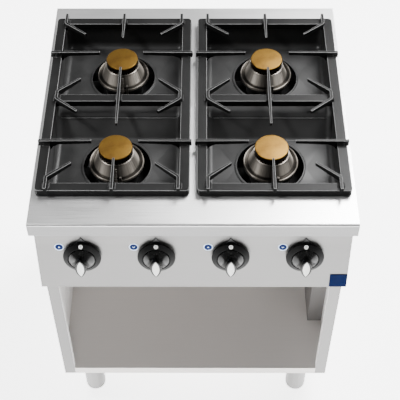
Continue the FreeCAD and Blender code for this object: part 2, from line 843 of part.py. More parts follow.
def make_control_panel():
    """A folded panel that leans back towards its top, closed by a cheek at each end."""
    body = new_body("control_panel_body")
    fold_bottom = f"{PANEL_BOTTOM_Z} - panel_fold"
    skin = outline(sketch_on(body, "panel_section", "YZ_Plane"), [
        ("panel_setback", "-skirt_height"), (PANEL_BOTTOM_Y, PANEL_BOTTOM_Z),
        (PANEL_BOTTOM_Y, fold_bottom), ("cabinet_front", fold_bottom),
        ("cabinet_front", "-skirt_height"),
    ])
    padded(body, "panel_pad", skin, "worktop_width", middle=True)
    thickness = "sheet / cos(panel_tilt)"
    space = outline(sketch_on(body, "panel_space", "YZ_Plane"), [
        (f"panel_setback + {thickness}", "-skirt_height - sheet"),
        (f"{PANEL_BOTTOM_Y} + {thickness}", f"{fold_bottom} + sheet"),
        ("cabinet_front + overrun", f"{fold_bottom} + sheet"),
        ("cabinet_front + overrun", "-skirt_height - sheet"),
    ])
    pocketed(body, "panel_pocket", space, "worktop_width - 2 * sheet", middle=True)
    holes = []
    for number, x in enumerate(knob_places(), 1):
        hole = rod(f"panel_hole_{number}", "spindle_hole_radius", ("0", "6 * sheet"))
        holes.append(on_panel(hole, x))
        hole.setExpression("Placement.Base.y", formula(f"{KNOB_Y} + 3 * sheet"))
    keep("control_panel", cut("control_panel_pierced", body, holes))

    badge = box(
        "badge_plate", ("worktop_width / 2 - badge_size", HALF),
        ("knob_slope - panel_slope", "knob_slope - panel_slope + badge_size"),
        (0, "badge_thickness"))
    keep_on_panel("panel_badge", group("badge", [badge]), 0)


def make_bezels():
    """A flat ring behind each knob with a pointer at its top."""
    bezels = []
    for number, x in enumerate(knob_places(), 1):
        disc = rod(f"bezel_disc_{number}", "bezel_radius", (0, "bezel_thickness"))
        pointer_body = new_body(f"bezel_pointer_{number}")
        pointer = outline(sketch_on(pointer_body, f"pointer_{number}", "XY_Plane"), [
            ("-pointer_width / 2", "pointer_root"), ("pointer_width / 2", "pointer_root"),
            (0, "pointer_reach"),
        ])
        padded(pointer_body, f"pointer_pad_{number}", pointer, "bezel_thickness")
        hole = rod(f"bezel_hole_{number}", "bezel_hole_radius", ("-overrun", "bezel_thickness + overrun"))
        solid = cut(f"bezel_{number}", fuse(f"bezel_whole_{number}", [disc, pointer_body]), [hole])
        bezels.append(on_panel(solid, x))
    keep("knob_bezels", group("bezel_set", bezels))


def make_knob(number, x):
    """A turned knob with a bevelled skirt, a hub and a leaf-shaped handle."""
    ring_top = "knob_skirt_lift + knob_skirt_height"
    blank = revolved(f"knob_{number}_blank", [
        (0, "knob_skirt_lift + knob_recess"),
        ("knob_skirt_radius - knob_recess_inset", "knob_skirt_lift + knob_recess"),
        ("knob_skirt_radius - knob_skirt_lip", "knob_skirt_lift"), ("knob_skirt_radius", "knob_skirt_lift"),
        ("knob_skirt_radius", "knob_skirt_lift + knob_skirt_edge"),
        ("knob_ring_radius", ring_top), ("knob_groove_radius", ring_top),
        ("knob_groove_radius", f"{ring_top} - knob_groove_depth"),
        ("hub_radius", f"{ring_top} - knob_groove_depth"),
        ("hub_radius", f"{ring_top} + hub_shoulder"), ("hub_top_radius", "hub_top"), (0, "hub_top"),
    ])
    arc_radius = "((handle_length ^ 2 + handle_width ^ 2) / (4 * handle_width))"
    cheeks = []
    for hand in (-1, 1):
        cheeks.append(rod(
            f"handle_cheek_{number}", arc_radius, (f"{ring_top} - knob_groove_depth / 2", "handle_top"),
            x=f"{hand} * ({arc_radius} - handle_width / 2)"))
    handle = common(f"handle_{number}", cheeks)
    bore = rod(
        f"knob_bore_{number}", "spindle_radius + spindle_fit",
        (0, "spindle_outer_end"))
    whole = cut(f"knob_{number}_bored", fuse(f"knob_{number}_solid", [blank, handle]), [bore])
    keep_on_panel(f"knob_{number}", whole, x)

    spindle = rod(f"spindle_{number}_rod", "spindle_radius", ("-spindle_inner_end", "spindle_outer_end"))
    keep_on_panel(f"spindle_{number}", group(f"spindle_{number}_whole", [spindle]), x)


def make_tap(number, x):
    """A gas tap: body with chamber, inlet nipple and outlet, and the plug that turns in it."""
    shell = rod(f"tap_shell_{number}", "tap_radius", ("-tap_back", "-tap_front"))
    nipple = rod(f"tap_nipple_{number}", "tap_nipple_radius", ("-tap_nipple_end", "-tap_back"))
    outlet = rod(
        f"tap_outlet_{number}", "tap_outlet_radius", ("tap_chamber_radius", "tap_outlet_reach"),
        Y_AXIS, z="-tap_outlet_depth")
    front_bore = rod(
        f"tap_bore_{number}", "tap_bore_radius",
        ("-tap_chamber_front - overrun", "overrun - tap_front"))
    chamber = rod(
        f"tap_chamber_{number}", "tap_chamber_radius", ("-tap_chamber_back", "-tap_chamber_front"))
    inlet = rod(
        f"tap_inlet_{number}", "gas_bore_radius", ("-tap_nipple_end - overrun", "overrun - tap_chamber_back"))
    outlet_bore = rod(
        f"tap_outlet_bore_{number}", "gas_bore_radius", (0, "tap_outlet_reach + overrun"),
        Y_AXIS, z="-tap_outlet_depth")
    saddle = rod(
        f"tap_saddle_{number}", "manifold_radius", ("-tap_radius", "tap_radius"), X_AXIS,
        z="-manifold_depth")
    body = cut(f"tap_{number}", fuse(f"tap_solid_{number}", [shell, nipple, outlet]), [
        front_bore, chamber, inlet, outlet_bore, saddle])
    keep_on_panel(f"valve_body_{number}", body, x)

    plug = rod(
        f"plug_rod_{number}", "plug_radius",
        ("plug_end_gap - tap_chamber_back", "-tap_chamber_front - plug_end_gap"))
    socket = rod(
        f"plug_socket_{number}", "tap_bore_radius",
        ("-tap_chamber_front - plug_bore_depth", "-tap_chamber_front"))
    keep_on_panel(f"valve_plug_{number}", cut(f"plug_{number}", plug, [socket]), x)


def make_manifold():
    """A horizontal gas tube with a port under each tap's nipple and one open end."""
    ends = ("-manifold_half_length", "manifold_half_length")
    tube = rod("manifold_tube", "manifold_radius", ends, X_AXIS, y=MANIFOLD_Y, z=MANIFOLD_Z)
    bore = rod(
        "manifold_bore", "manifold_radius - manifold_wall",
        ("manifold_wall - manifold_half_length", "manifold_half_length - manifold_wall"), X_AXIS,
        y=MANIFOLD_Y, z=MANIFOLD_Z)
    feed = rod(
        "manifold_feed", "riser_radius - riser_wall",
        ("manifold_half_length - 2 * manifold_wall", "manifold_half_length + overrun"), X_AXIS,
        y=MANIFOLD_Y, z=MANIFOLD_Z)
    tools = [bore, feed]
    for number, x in enumerate(knob_places(), 1):
        port = rod(
            f"manifold_port_{number}", "gas_bore_radius", ("-manifold_depth", "-tap_back"))
        tools.append(on_panel(group(f"manifold_port_{number}_held", [port]), x))
    keep("gas_manifold", cut("manifold", tube, tools))


def make_supply_tubes():
    """A bent tube from each tap's outlet to its injector, under the cross members."""
    tilt = math.radians(cell("panel_tilt"))
    out = V(0, -math.cos(tilt), math.sin(tilt))
    up = V(0, math.sin(tilt), math.cos(tilt))
    knob_y = cell("panel_setback") - cell("knob_slope") * math.sin(tilt)
    knob_z = -cell("skirt_height") - cell("knob_slope") * math.cos(tilt)
    knob_x = [-cell("outer_knob_x"), -cell("inner_knob_x"), cell("inner_knob_x"), cell("outer_knob_x")]
    end_z = -cell("mixer_drop") - cell("injector_radius")
    shapes = []
    for x, (side, rear) in zip(knob_x, burner_places()):
        outlet = V(x, knob_y, knob_z) - out * cell("tap_outlet_depth") + up * cell("tap_outlet_reach")
        rise = (-cell("supply_level") - outlet.z) / up.z
        first = outlet + up * rise
        burner_x = side * cell("module_offset")
        burner_y = cell("module_centre") + (1 if rear else -1) * cell("burner_offset")
        end_y = burner_y - cell("supply_reach")
        route = [outlet, first]
        if rear:
            route.append(V(x, end_y, first.z))
            route.append(V(burner_x, end_y, first.z))
        else:
            route.append(V(burner_x, first.y, first.z))
        end = V(burner_x, route[-1].y, end_z)
        route.append(end)
        shapes.append(tube_along(
            route, cell("supply_bend"), cell("supply_radius"), cell("supply_wall")))
    tubes = doc.addObject("Part::Feature", "supply_tube_set")
    tubes.Shape = Part.makeCompound(shapes)
    keep("supply_tubes", tubes)


# ---------------------------------------------------------------- gas connection

def make_gas_connection():
    """The inlet at the back, the riser up the right-hand wall and the cover over it."""
    tilt = math.radians(cell("panel_tilt"))
    manifold_y = (
        cell("panel_setback") - cell("knob_slope") * math.sin(tilt)
        + cell("manifold_depth") * math.cos(tilt)
    )
    manifold_z = (
        -cell("skirt_height") - cell("knob_slope") * math.cos(tilt)
        - cell("manifold_depth") * math.sin(tilt)
    )
    x = cell("riser_x")
    route = [
        V(x, cell("inlet_start"), -cell("inlet_drop")),
        V(x, cell("riser_y"), -cell("inlet_drop")),
        V(x, cell("riser_y"), manifold_z),
        V(x, manifold_y, manifold_z),
        V(cell("manifold_half_length"), manifold_y, manifold_z),
    ]
    riser = doc.addObject("Part::Feature", "riser_tube")
    riser.Shape = tube_along(route, cell("riser_bend"), cell("riser_radius"), cell("riser_wall"))
    keep("gas_riser_pipe", riser)

    place = {"x": "riser_x", "z": "-inlet_drop"}
    body = rod(
        "inlet_body", "inlet_body_radius", ("inlet_start", "inlet_thread_start"), Y_AXIS, **place)
    thread = rod(
        "inlet_thread", "inlet_thread_radius", ("inlet_thread_start", "inlet_end"), Y_AXIS, **place)
    bore = rod(
        "inlet_bore_rod", "inlet_bore", ("inlet_start - overrun", "inlet_end + overrun"), Y_AXIS,
        **place)
    keep("gas_inlet_fitting", cut("inlet_fitting", fuse("inlet_solid", [body, thread]), [bore]))

    body = new_body("riser_cover_body")
    section = outline(sketch_on(body, "riser_cover_section", "XY_Plane"), [
        ("riser_cover_x", "riser_cover_y"), (INSIDE, "riser_cover_y"),
        (INSIDE, "riser_cover_y + riser_cover_sheet"),
        ("riser_cover_x + riser_cover_sheet", "riser_cover_y + riser_cover_sheet"),
        ("riser_cover_x + riser_cover_sheet", "cabinet_back - 2 * sheet"),
        ("riser_cover_x", "cabinet_back - 2 * sheet"),
    ])
    height = f"-shield_drop - sheet - {SHELF_Z}"
    padded(body, "riser_cover_pad", section, height)
    section.setExpression("AttachmentOffset.Base.z", formula(SHELF_Z))
    keep("riser_cover", body)


# ---------------------------------------------------------------- cabinet

def make_side_panel(node, side):
    """A single sheet with a front stile, a rear fold and a tongue inside the skirt."""
    low, high = "-cabinet_bottom", "-skirt_height"
    sheet = box(
        node + "_sheet", mirrored(side, INSIDE, HALF), ("cabinet_front", "cabinet_back"), (low, high))
    stile = box(
        node + "_stile", mirrored(side, f"{HALF} - stile_width", HALF),
        ("cabinet_front", "cabinet_front + sheet"), (low, high))
    lip = box(
        node + "_lip", mirrored(side, f"{HALF} - stile_width", f"{HALF} - stile_width + sheet"),
        ("cabinet_front", "cabinet_front + stile_return"), (SHELF_Z, high))
    fold = box(
        node + "_fold", mirrored(side, f"{HALF} - rear_fold", HALF),
        ("cabinet_back - sheet", "cabinet_back"), (low, high))
    tongue = box(
        node + "_tongue", mirrored(side, f"{HALF} - 2 * sheet", INSIDE),
        ("underside_return + 2 * sheet", "cabinet_back - 2 * sheet"), ("-tongue_bottom", "-2 * sheet"))
    keep(node, fuse(node + "_folded", [sheet, stile, lip, fold, tongue]))


def make_bottom_shelf():
    """A folded shelf: a rail in front between the stiles, and flanges on the other sides."""
    rear = "cabinet_back - 2 * sheet"
    plate = box(
        "shelf_plate", (f"-({INSIDE})", INSIDE), ("cabinet_front + sheet", rear),
        (f"{SHELF_Z} - sheet", SHELF_Z))
    between = (f"stile_width - {HALF}", f"{HALF} - stile_width")
    rail = box(
        "shelf_rail", between, ("cabinet_front", "cabinet_front + 2 * sheet"),
        ("-cabinet_bottom", SHELF_Z))
    rail_return = box(
        "shelf_rail_return", between, ("cabinet_front", "cabinet_front + rail_return"),
        ("-cabinet_bottom", "sheet - cabinet_bottom"))
    rear_rail = box(
        "shelf_rear_rail", (f"-({INSIDE})", INSIDE), (f"{rear} - sheet", rear),
        ("-cabinet_bottom", SHELF_Z))
    pieces = [plate, rail, rail_return, rear_rail]
    for side in (-1, 1):
        pieces.append(box(
            "shelf_flange", mirrored(side, f"{HALF} - 2 * sheet", INSIDE),
            ("cabinet_front + sheet", rear), ("-cabinet_bottom", SHELF_Z)))
    keep("bottom_shelf", fuse("shelf_folded", pieces))


def make_heat_shield():
    """The compartment's ceiling, with a flange down behind the control panel."""
    plate = box(
        "shield_plate", (f"-({INSIDE})", INSIDE), ("shield_front", "cabinet_back - 2 * sheet"),
        ("-shield_drop - sheet", "-shield_drop"))
    flange = box(
        "shield_flange", (f"-({INSIDE})", INSIDE), ("shield_front", "shield_front + sheet"),
        (f"{PANEL_BOTTOM_Z} - panel_fold", "-shield_drop"))
    hole = rod(
        "shield_hole", "riser_radius + sheet", ("-shield_drop - 2 * sheet", "sheet - shield_drop"),
        x="riser_x", y="riser_y")
    keep("heat_shield", cut("shield_pierced", fuse("shield_folded", [plate, flange]), [hole]))


def make_back_panel():
    plate = box(
        "back_plate", (f"-({INSIDE})", INSIDE), ("cabinet_back - 2 * sheet", "cabinet_back - sheet"),
        ("-cabinet_bottom", "-back_panel_top"))
    hole = rod(
        "back_hole", "inlet_body_radius + sheet / 2", ("cabinet_back - 3 * sheet", "cabinet_back"), Y_AXIS,
        x="riser_x", z="-inlet_drop")
    keep("back_panel", cut("back_pierced", plate, [hole]))
    screws = []
    for side in (-1, 1):
        for height in (
            "-back_panel_top - screw_inset", "-cabinet_bottom / 2", "screw_inset - cabinet_bottom",
        ):
            screws.append(rod(
                "back_screw", "screw_radius", ("cabinet_back - sheet", "cabinet_back - sheet + screw_height"),
                Y_AXIS, x=f"{side} * ({HALF} - 2 * rear_fold)", z=height))
    keep("back_panel_screws", group("back_screws", screws))


# ---------------------------------------------------------------- feet

def make_feet():
    """A fixed sleeve under each corner of the shelf and a foot that screws out of it."""
    sleeves = []
    places = [
        ("left_front", "-foot_x", "front_foot_y"), ("right_front", "foot_x", "front_foot_y"),
        ("left_rear", "-foot_x", "rear_foot_y"), ("right_rear", "foot_x", "rear_foot_y"),
    ]
    for name, x, y in places:
        under = f"{SHELF_Z} - sheet"
        plate = box(
            f"sleeve_plate_{name}",
            (f"{x} - sleeve_plate / 2", f"{x} + sleeve_plate / 2"),
            (f"{y} - sleeve_plate_front", f"{y} + sleeve_plate / 2"),
            (f"{under} - sleeve_plate_sheet", under))
        tube = rod(
            f"sleeve_tube_{name}", "sleeve_radius",
            ("sleeve_bottom - worktop_height", under), x=x, y=y)
        bore = rod(
            f"sleeve_bore_{name}", "sleeve_bore",
            ("sleeve_bottom - worktop_height - overrun", f"{under} - sleeve_plate_sheet"), x=x, y=y)
        sleeves.append(cut(f"sleeve_{name}", fuse(f"sleeve_whole_{name}", [plate, tube]), [bore]))
        foot = revolved(f"foot_{name}_turned", [
            (0, 0), ("foot_pad_radius - foot_edge", 0), ("foot_pad_radius", "foot_edge"),
            ("foot_pad_radius", "sleeve_bottom"), ("foot_stem_radius", "sleeve_bottom"),
            ("foot_stem_radius", "foot_stem_top"), (0, "foot_stem_top"),
        ])
        move(foot, x, f"{LIP_Y} + {y}", 0)
        foot.Label = f"foot_{name}"
        NODES.append(foot)
    keep("foot_sleeves", group("sleeve_set", sleeves))


# ---------------------------------------------------------------- build and write

def build():
    make_worktop()
    for side, name in ((-1, "left"), (1, "right")):
        for rear, row in ((False, "front"), (True, "rear")):
            make_drip_pan(f"drip_pan_{name}_{row}", side, rear)
        make_grate(f"grate_{name}", side)
        make_side_panel(f"side_panel_{name}", side)
    for number, (side, rear) in enumerate(burner_places(), 1):
        make_burner(number, side, rear)
    make_burner_fittings()
    make_cross_member("front_cross_member", False)
    make_cross_member("rear_cross_member", True)
    make_control_panel()
    make_bezels()
    for number, x in enumerate(knob_places(), 1):
        make_knob(number, x)
        make_tap(number, x)
    make_manifold()
    make_supply_tubes()
    make_gas_connection()
    make_bottom_shelf()
    make_heat_shield()
    make_back_panel()
    make_feet()


def check():
    failed = [o.Name for o in doc.Objects if {"Invalid", "Error"} & set(o.State)]
    assert not failed, f"failed objects: {failed}"
    for piece in NODES:
        shape = piece.Shape
        assert not shape.isNull() and shape.isValid(), f"bad shape: {piece.Label}"
        assert shape.Solids, f"no solid: {piece.Label}"
    labels = [piece.Label for piece in NODES]
    assert len(set(labels)) == len(labels), "two sub-parts share a name"


def write():
    os.makedirs("parts", exist_ok=True)
    for piece in NODES:
        piece.Shape.exportStep(f"parts/{piece.Label}.step")
    print(len(NODES), "sub-parts written")


build()
doc.recompute()
check()
write()
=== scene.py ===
import json
import math

import bmesh
import bpy
from mathutils import Matrix, Vector


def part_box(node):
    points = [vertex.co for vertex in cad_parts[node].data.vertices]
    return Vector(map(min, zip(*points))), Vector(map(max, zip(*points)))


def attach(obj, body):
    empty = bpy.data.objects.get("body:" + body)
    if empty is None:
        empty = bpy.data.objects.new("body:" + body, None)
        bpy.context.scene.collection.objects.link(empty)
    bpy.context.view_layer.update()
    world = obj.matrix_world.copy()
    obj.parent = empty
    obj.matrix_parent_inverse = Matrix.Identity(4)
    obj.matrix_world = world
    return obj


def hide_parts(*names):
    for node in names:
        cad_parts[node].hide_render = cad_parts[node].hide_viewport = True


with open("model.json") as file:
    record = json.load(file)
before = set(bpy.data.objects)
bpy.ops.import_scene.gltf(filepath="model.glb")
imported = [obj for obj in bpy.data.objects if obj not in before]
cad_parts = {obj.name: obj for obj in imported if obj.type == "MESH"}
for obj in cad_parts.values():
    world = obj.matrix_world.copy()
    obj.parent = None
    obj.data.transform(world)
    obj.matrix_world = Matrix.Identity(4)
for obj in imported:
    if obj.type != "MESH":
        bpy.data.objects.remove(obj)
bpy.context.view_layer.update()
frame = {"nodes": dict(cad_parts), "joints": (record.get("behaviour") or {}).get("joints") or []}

# Lengths below are in millimetres in the range's own datum: X across from the centre line,
# Y back from the worktop's front lip, Z up from the worktop's top face.
MM = 0.001
LIP_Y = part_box("worktop")[0].y
TOP_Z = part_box("worktop")[1].z
JOINTS = {joint["name"]: joint for joint in frame["joints"]}

# The two cooking modules, left and right, each with a rear (1) and a front (-1) burner.
MODULE_X = 174
MODULE_Y = 360
BURNER_STEP = 144
BURNERS = [(-1, 1), (-1, -1), (1, 1), (1, -1)]
SIDES = {"left": -1, "right": 1}
ROWS = {"front": -1, "rear": 1}


def at(x, y, z):
    """A place in the datum, in millimetres, as a place in the frame, in metres."""
    return Vector((x * MM, LIP_Y + y * MM, TOP_Z + z * MM))


def in_datum(place):
    """A place in the frame, in metres, as a place in the datum, in millimetres."""
    return (place - at(0, 0, 0)) / MM


def burner_centre(side, row):
    """A burner's axis at the worktop's height."""
    return at(side * MODULE_X, MODULE_Y + row * BURNER_STEP, 0)


def heading_vector(degrees):
    """The level direction at an angle from X."""
    return Vector((math.cos(math.radians(degrees)), math.sin(math.radians(degrees))))


# ---------------------------------------------------------------- mesh helpers

# Angles between faces, in degrees: shading is smooth below the first one, and edges of the
# CAD meshes are rounded off above the second.
SMOOTH_BELOW = 32
SHARP_ABOVE = 35
HEM_RADIUS = 3
WELD = 1e-6


def piece(name, mesh, body, material, place=None, nodes=()):
    """Adds a finished bmesh as a piece of the range, smooth except along its sharp edges."""
    data = bpy.data.meshes.new(name)
    mesh.normal_update()
    mesh.to_mesh(data)
    mesh.free()
    data.shade_smooth()
    data.set_sharp_from_angle(angle=math.radians(SMOOTH_BELOW))
    data.materials.append(material)
    made = bpy.data.objects.new(name, data)
    bpy.context.scene.collection.objects.link(made)
    if place is not None:
        made.matrix_world = place
    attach(made, body)
    if nodes:
        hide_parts(*nodes)
    return made


def even_shading(made):
    """Lets each vertex follow its largest faces, so that flats stay flat beside rounded edges."""
    weigh = made.modifiers.new("weigh", "WEIGHTED_NORMAL")
    weigh.keep_sharp = True
    weigh.weight = 90
    bpy.context.view_layer.update()
    graph = bpy.context.evaluated_depsgraph_get()
    data = bpy.data.meshes.new_from_object(made.evaluated_get(graph))
    data.name = made.data.name
    old = made.data
    made.modifiers.clear()
    made.data = data
    bpy.data.meshes.remove(old)


def rounded_path(corners, steps=5, closed=True):
    """The outline through (a, b, radius) corners with each corner turned into an arc."""
    points = []
    count = len(corners)
    for index, (a, b, radius) in enumerate(corners):
        here = Vector((a, b))
        if radius <= 0 or (not closed and index in (0, count - 1)):
            points.append(here)
            continue
        before = Vector(corners[index - 1][:2]) - here
        after = Vector(corners[(index + 1) % count][:2]) - here
        half = before.angle(after) / 2
        reach = min(radius / math.tan(half), before.length * 0.49, after.length * 0.49)
        size = reach * math.tan(half)
        centre = here + (before.normalized() + after.normalized()).normalized() * size / math.sin(half)
        start = here + before.normalized() * reach - centre
        end = here + after.normalized() * reach - centre
        sweep = start.angle_signed(end)
        for step in range(steps + 1):
            turn = -sweep * step / steps
            cos, sin = math.cos(turn), math.sin(turn)
            points.append(centre + Vector((start.x * cos - start.y * sin, start.x * sin + start.y * cos)))
    return points


def lathe(profile, steps=96, closed=False, bend=None):
    """A turned shape from (radius, height) points in millimetres, in metres."""
    mesh = bmesh.new()
    rings = []
    for radius, height in profile:
        if radius < 1e-6:
            rings.append([mesh.verts.new((0, 0, height * MM))])
            continue
        ring = []
        for step in range(steps):
            angle = 2 * math.pi * step / steps
            size = bend(angle, radius, height) if bend else radius
            point = Vector((size * math.cos(angle), size * math.sin(angle), height))
            ring.append(mesh.verts.new(point * MM))
        rings.append(ring)
    pairs = list(zip(rings, rings[1:]))
    if closed:
        pairs.append((rings[-1], rings[0]))
    for low, high in pairs:
        bridge(mesh, low, high)
    bmesh.ops.recalc_face_normals(mesh, faces=mesh.faces)
    return mesh


def bridge(mesh, low, high):
    """Faces between two rings, either of which may be a single point."""
    count = max(len(low), len(high))
    for step in range(count):
        following = (step + 1) % count
        if len(low) == 1:
            mesh.faces.new((low[0], high[following], high[step]))
        elif len(high) == 1:
            mesh.faces.new((low[step], low[following], high[0]))
        else:
            mesh.faces.new((low[step], low[following], high[following], high[step]))


def loft(mesh, sections):
    """A closed solid through sections with the same number of points."""
    rings = [[mesh.verts.new(point) for point in section] for section in sections]
    for low, high in zip(rings, rings[1:]):
        bridge(mesh, low, high)
    mesh.faces.new(list(reversed(rings[0])))
    mesh.faces.new(rings[-1])


def slab(mesh, outline, low, high):
    """A plate from its outline in millimetres."""
    loft(mesh, [[Vector((x, y, height)) * MM for x, y in outline] for height in (low, high)])


def join_into(mesh, part):
    """Adds a second bmesh to the first and frees it."""
    data = bpy.data.meshes.new("part")
    part.to_mesh(data)
    part.free()
    mesh.from_mesh(data)
    bpy.data.meshes.remove(data)


def refined(node, body, material, width=0.4, segments=2, hems=None):
    """The CAD node's own mesh with merged faces, softly rounded edges and wider hems."""
    mesh = bmesh.new()
    mesh.from_mesh(frame["nodes"][node].data)
    bmesh.ops.remove_doubles(mesh, verts=mesh.verts, dist=WELD)
    if width:
        bmesh.ops.dissolve_limit(
            mesh, angle_limit=math.radians(0.4), verts=mesh.verts, edges=mesh.edges)
        if hems:
            bmesh.ops.bevel(
                mesh, geom=[e for e in mesh.edges if hems(e)], offset=HEM_RADIUS * MM,
                offset_type="OFFSET", segments=5, profile=0.5, affect="EDGES", clamp_overlap=True)
        sharp = math.radians(SHARP_ABOVE)
        edges = [e for e in mesh.edges if e.is_manifold and e.calc_face_angle() > sharp]
        bmesh.ops.bevel(
            mesh, geom=edges, offset=width * MM, offset_type="OFFSET", segments=segments,
            profile=0.5, affect="EDGES", clamp_overlap=True)
    bmesh.ops.recalc_face_normals(mesh, faces=mesh.faces)
    made = piece(f"{node}_skin", mesh, body, material, nodes=(node,))
    even_shading(made)
    return made


def dressed(node, material):
    """A CAD node whose shape is kept as it is and only gets a material."""
    data = frame["nodes"][node].data
    data.materials.clear()
    data.materials.append(material)


# ---------------------------------------------------------------- material helpers

class Nodes:
    """A material's node tree with short names for the nodes used here."""

    def __init__(self, name, colour, metallic=0.0, roughness=0.5):
        self.material = bpy.data.materials.new(name)
        self.material.use_nodes = True
        self.tree = self.material.node_tree
        self.shader = self.tree.nodes["Principled BSDF"]
        self.set("Base Color", (*colour, 1))
        self.set("Metallic", metallic)
        self.set("Roughness", roughness)

    def set(self, socket, value):
        self.shader.inputs[socket].default_value = value

    def add(self, kind, **settings):
        node = self.tree.nodes.new(kind)
        for name, value in settings.items():
            setattr(node, name, value)
        return node

    def link(self, source, target):
        self.tree.links.new(source, target)

    def coords(self, scale=(1, 1, 1)):
        mapping = self.add("ShaderNodeMapping")
        mapping.inputs["Scale"].default_value = scale
        self.link(self.add("ShaderNodeTexCoord").outputs["Object"], mapping.inputs["Vector"])
        return mapping.outputs["Vector"]

    def noise(self, vector, scale, detail=3.0, roughness=0.55):
        node = self.add("ShaderNodeTexNoise")
        node.inputs["Scale"].default_value = scale
        node.inputs["Detail"].default_value = detail
        node.inputs["Roughness"].default_value = roughness
        self.link(vector, node.inputs["Vector"])
        return node.outputs["Fac"]

    def feed(self, node, values):
        """Sets or links a node's first inputs and gives its first output."""
        for socket, value in zip(node.inputs, values):
            if isinstance(value, (int, float)):
                socket.default_value = value
            else:
                self.link(value, socket)
        return node.outputs[0]

    def math(self, operation, first, second=0.0):
        return self.feed(self.add("ShaderNodeMath", operation=operation), (first, second))

    def spread(self, value, low, high, start=0.3, end=0.7):
        """Maps a factor from start..end onto low..high."""
        node = self.add("ShaderNodeMapRange")
        for name, number in (("From Min", start), ("From Max", end), ("To Min", low), ("To Max", high)):
            node.inputs[name].default_value = number
        self.link(value, node.inputs["Value"])
        return node.outputs["Result"]

    def ramp(self, value, stops):
        """A colour from a factor through (position, colour) stops."""
        node = self.add("ShaderNodeValToRGB")
        elements = node.color_ramp.elements
        while len(elements) < len(stops):
            elements.new(0.5)
        for element, (position, colour) in zip(elements, stops):
            element.position = position
            element.color = (*colour, 1)
        self.link(value, node.inputs["Fac"])
        return node.outputs["Color"]

    def colour(self, source):
        self.link(source, self.shader.inputs["Base Color"])

    def rough(self, source):
        self.link(source, self.shader.inputs["Roughness"])

    def bump(self, height, strength, distance):
        """Adds relief on top of any that is there already."""
        node = self.add("ShaderNodeBump")
        node.inputs["Strength"].default_value = strength
        node.inputs["Distance"].default_value = distance
        if self.shader.inputs["Normal"].links:
            self.link(self.shader.inputs["Normal"].links[0].from_socket, node.inputs["Normal"])
        self.link(height, node.inputs["Height"])
        self.link(node.outputs["Normal"], self.shader.inputs["Normal"])

    def polar(self):
        """The radius from the piece's Z axis, the angle about it and the height along it."""
        split = self.add("ShaderNodeSeparateXYZ")
        self.link(self.coords(), split.inputs[0])
        squares = [self.math("MULTIPLY", split.outputs[i], split.outputs[i]) for i in (0, 1)]
        radius = self.math("SQRT", self.math("ADD", *squares))
        angle = self.math("ARCTAN2", split.outputs[1], split.outputs[0])
        return radius, angle, split.outputs[2]

    def joined(self, x, y, z):
        return self.feed(self.add("ShaderNodeCombineXYZ"), (x, y, z))

    def rings(self, radius, scale, detail, roughness):
        """Noise in circles about the piece's Z axis."""
        place = self.joined(self.math("MULTIPLY", radius, scale), 0.0, 0.0)
        return self.noise(place, 1.0, detail, roughness)

    def mixed(self, factor, body, other, blend="MIX"):
        """The body colour mixed with a fixed one by a factor."""
        node = self.add("ShaderNodeMix", data_type="RGBA", blend_type=blend)
        self.link(factor, node.inputs[0])
        self.link(body, node.inputs[6])
        node.inputs[7].default_value = (*other, 1)
        return node.outputs[2]


def grey(value):
    return (value, value, value)


def tint(colour, factor):
    """A colour made darker or brighter by a factor."""
    return tuple(min(1.0, channel * factor) for channel in colour)


def brushed_steel(
        name, colour, roughness, along="x", streak=1.0, metallic=0.9, upright_shade=None, flank_shade=None):
    """Satin stainless steel with fine lines along one axis and faint large mottling.

    With upright, the faces that stand up are painted darker by that factor than those that lie flat, as
    painted shade.
    With flank, the faces that point left or right are painted darker by that factor, as painted shade.
    """
    made = Nodes(name, colour, metallic=metallic, roughness=roughness)
    made.set("Anisotropic", 0.35)
    scales = {"x": (6, 1100, 1100), "y": (1100, 6, 1100), "z": (1100, 1100, 6)}
    lines = made.noise(made.coords(scales[along]), 1.0, 4.0, 0.65)
    cloud = made.noise(made.coords(), 5.0, 2.0, 0.5)
    both = made.math("ADD", made.math("MULTIPLY", lines, 0.75), made.math("MULTIPLY", cloud, 0.25))
    low, high = tint(colour, 1 - 0.09 * streak), tint(colour, 1 + 0.07 * streak)
    body = made.ramp(both, [(0.3, low), (0.7, high)])
    if upright_shade or flank_shade:
        split = made.add("ShaderNodeSeparateXYZ")
        made.link(made.add("ShaderNodeTexCoord").outputs["Normal"], split.inputs[0])
        if upright_shade:
            # Faces that stand up are painted darker: painted shade.
            share = made.spread(split.outputs[2], 1.0, 0.0, 0.1, 0.8)
        else:
            # Faces that point left or right are painted darker: painted shade.
            share = made.spread(made.math("ABSOLUTE", split.outputs[0]), 0.0, 1.0, 0.3, 1.0)
        body = made.mixed(share, body, grey(upright_shade or flank_shade), "MULTIPLY")
    made.colour(body)
    made.rough(made.spread(both, roughness - 0.05, roughness + 0.08))
    made.bump(lines, 0.10 * streak, 0.0002)
    return made.material


def black_enamel(name, colour, roughness, grain, depth, specular, edge=None):
    """Vitreous enamel: nearly black, with a slight ripple; with edge, a lighter colour along the rounded
    edges marked by the edge attribute, as a painted highlight.
    """
    made = Nodes(name, colour, roughness=roughness)
    made.set("Specular IOR Level", specular)
    cloud = made.noise(made.coords(), 9.0, 4.0, 0.6)
    ripple = made.noise(made.coords(), grain, 3.0, 0.6)
    body = made.ramp(cloud, [(0.3, tint(colour, 0.8)), (0.7, tint(colour, 1.25))])
    # The marked crest faces get the lighter edge colour: a painted highlight.
    if edge:
        highlight_mask = made.add("ShaderNodeAttribute", attribute_name="edge").outputs["Fac"]
        body = made.mixed(highlight_mask, body, edge)
    made.colour(body)
    made.rough(made.spread(cloud, roughness - 0.06, roughness + 0.1))
    made.bump(ripple, 0.35, depth)
    return made.material


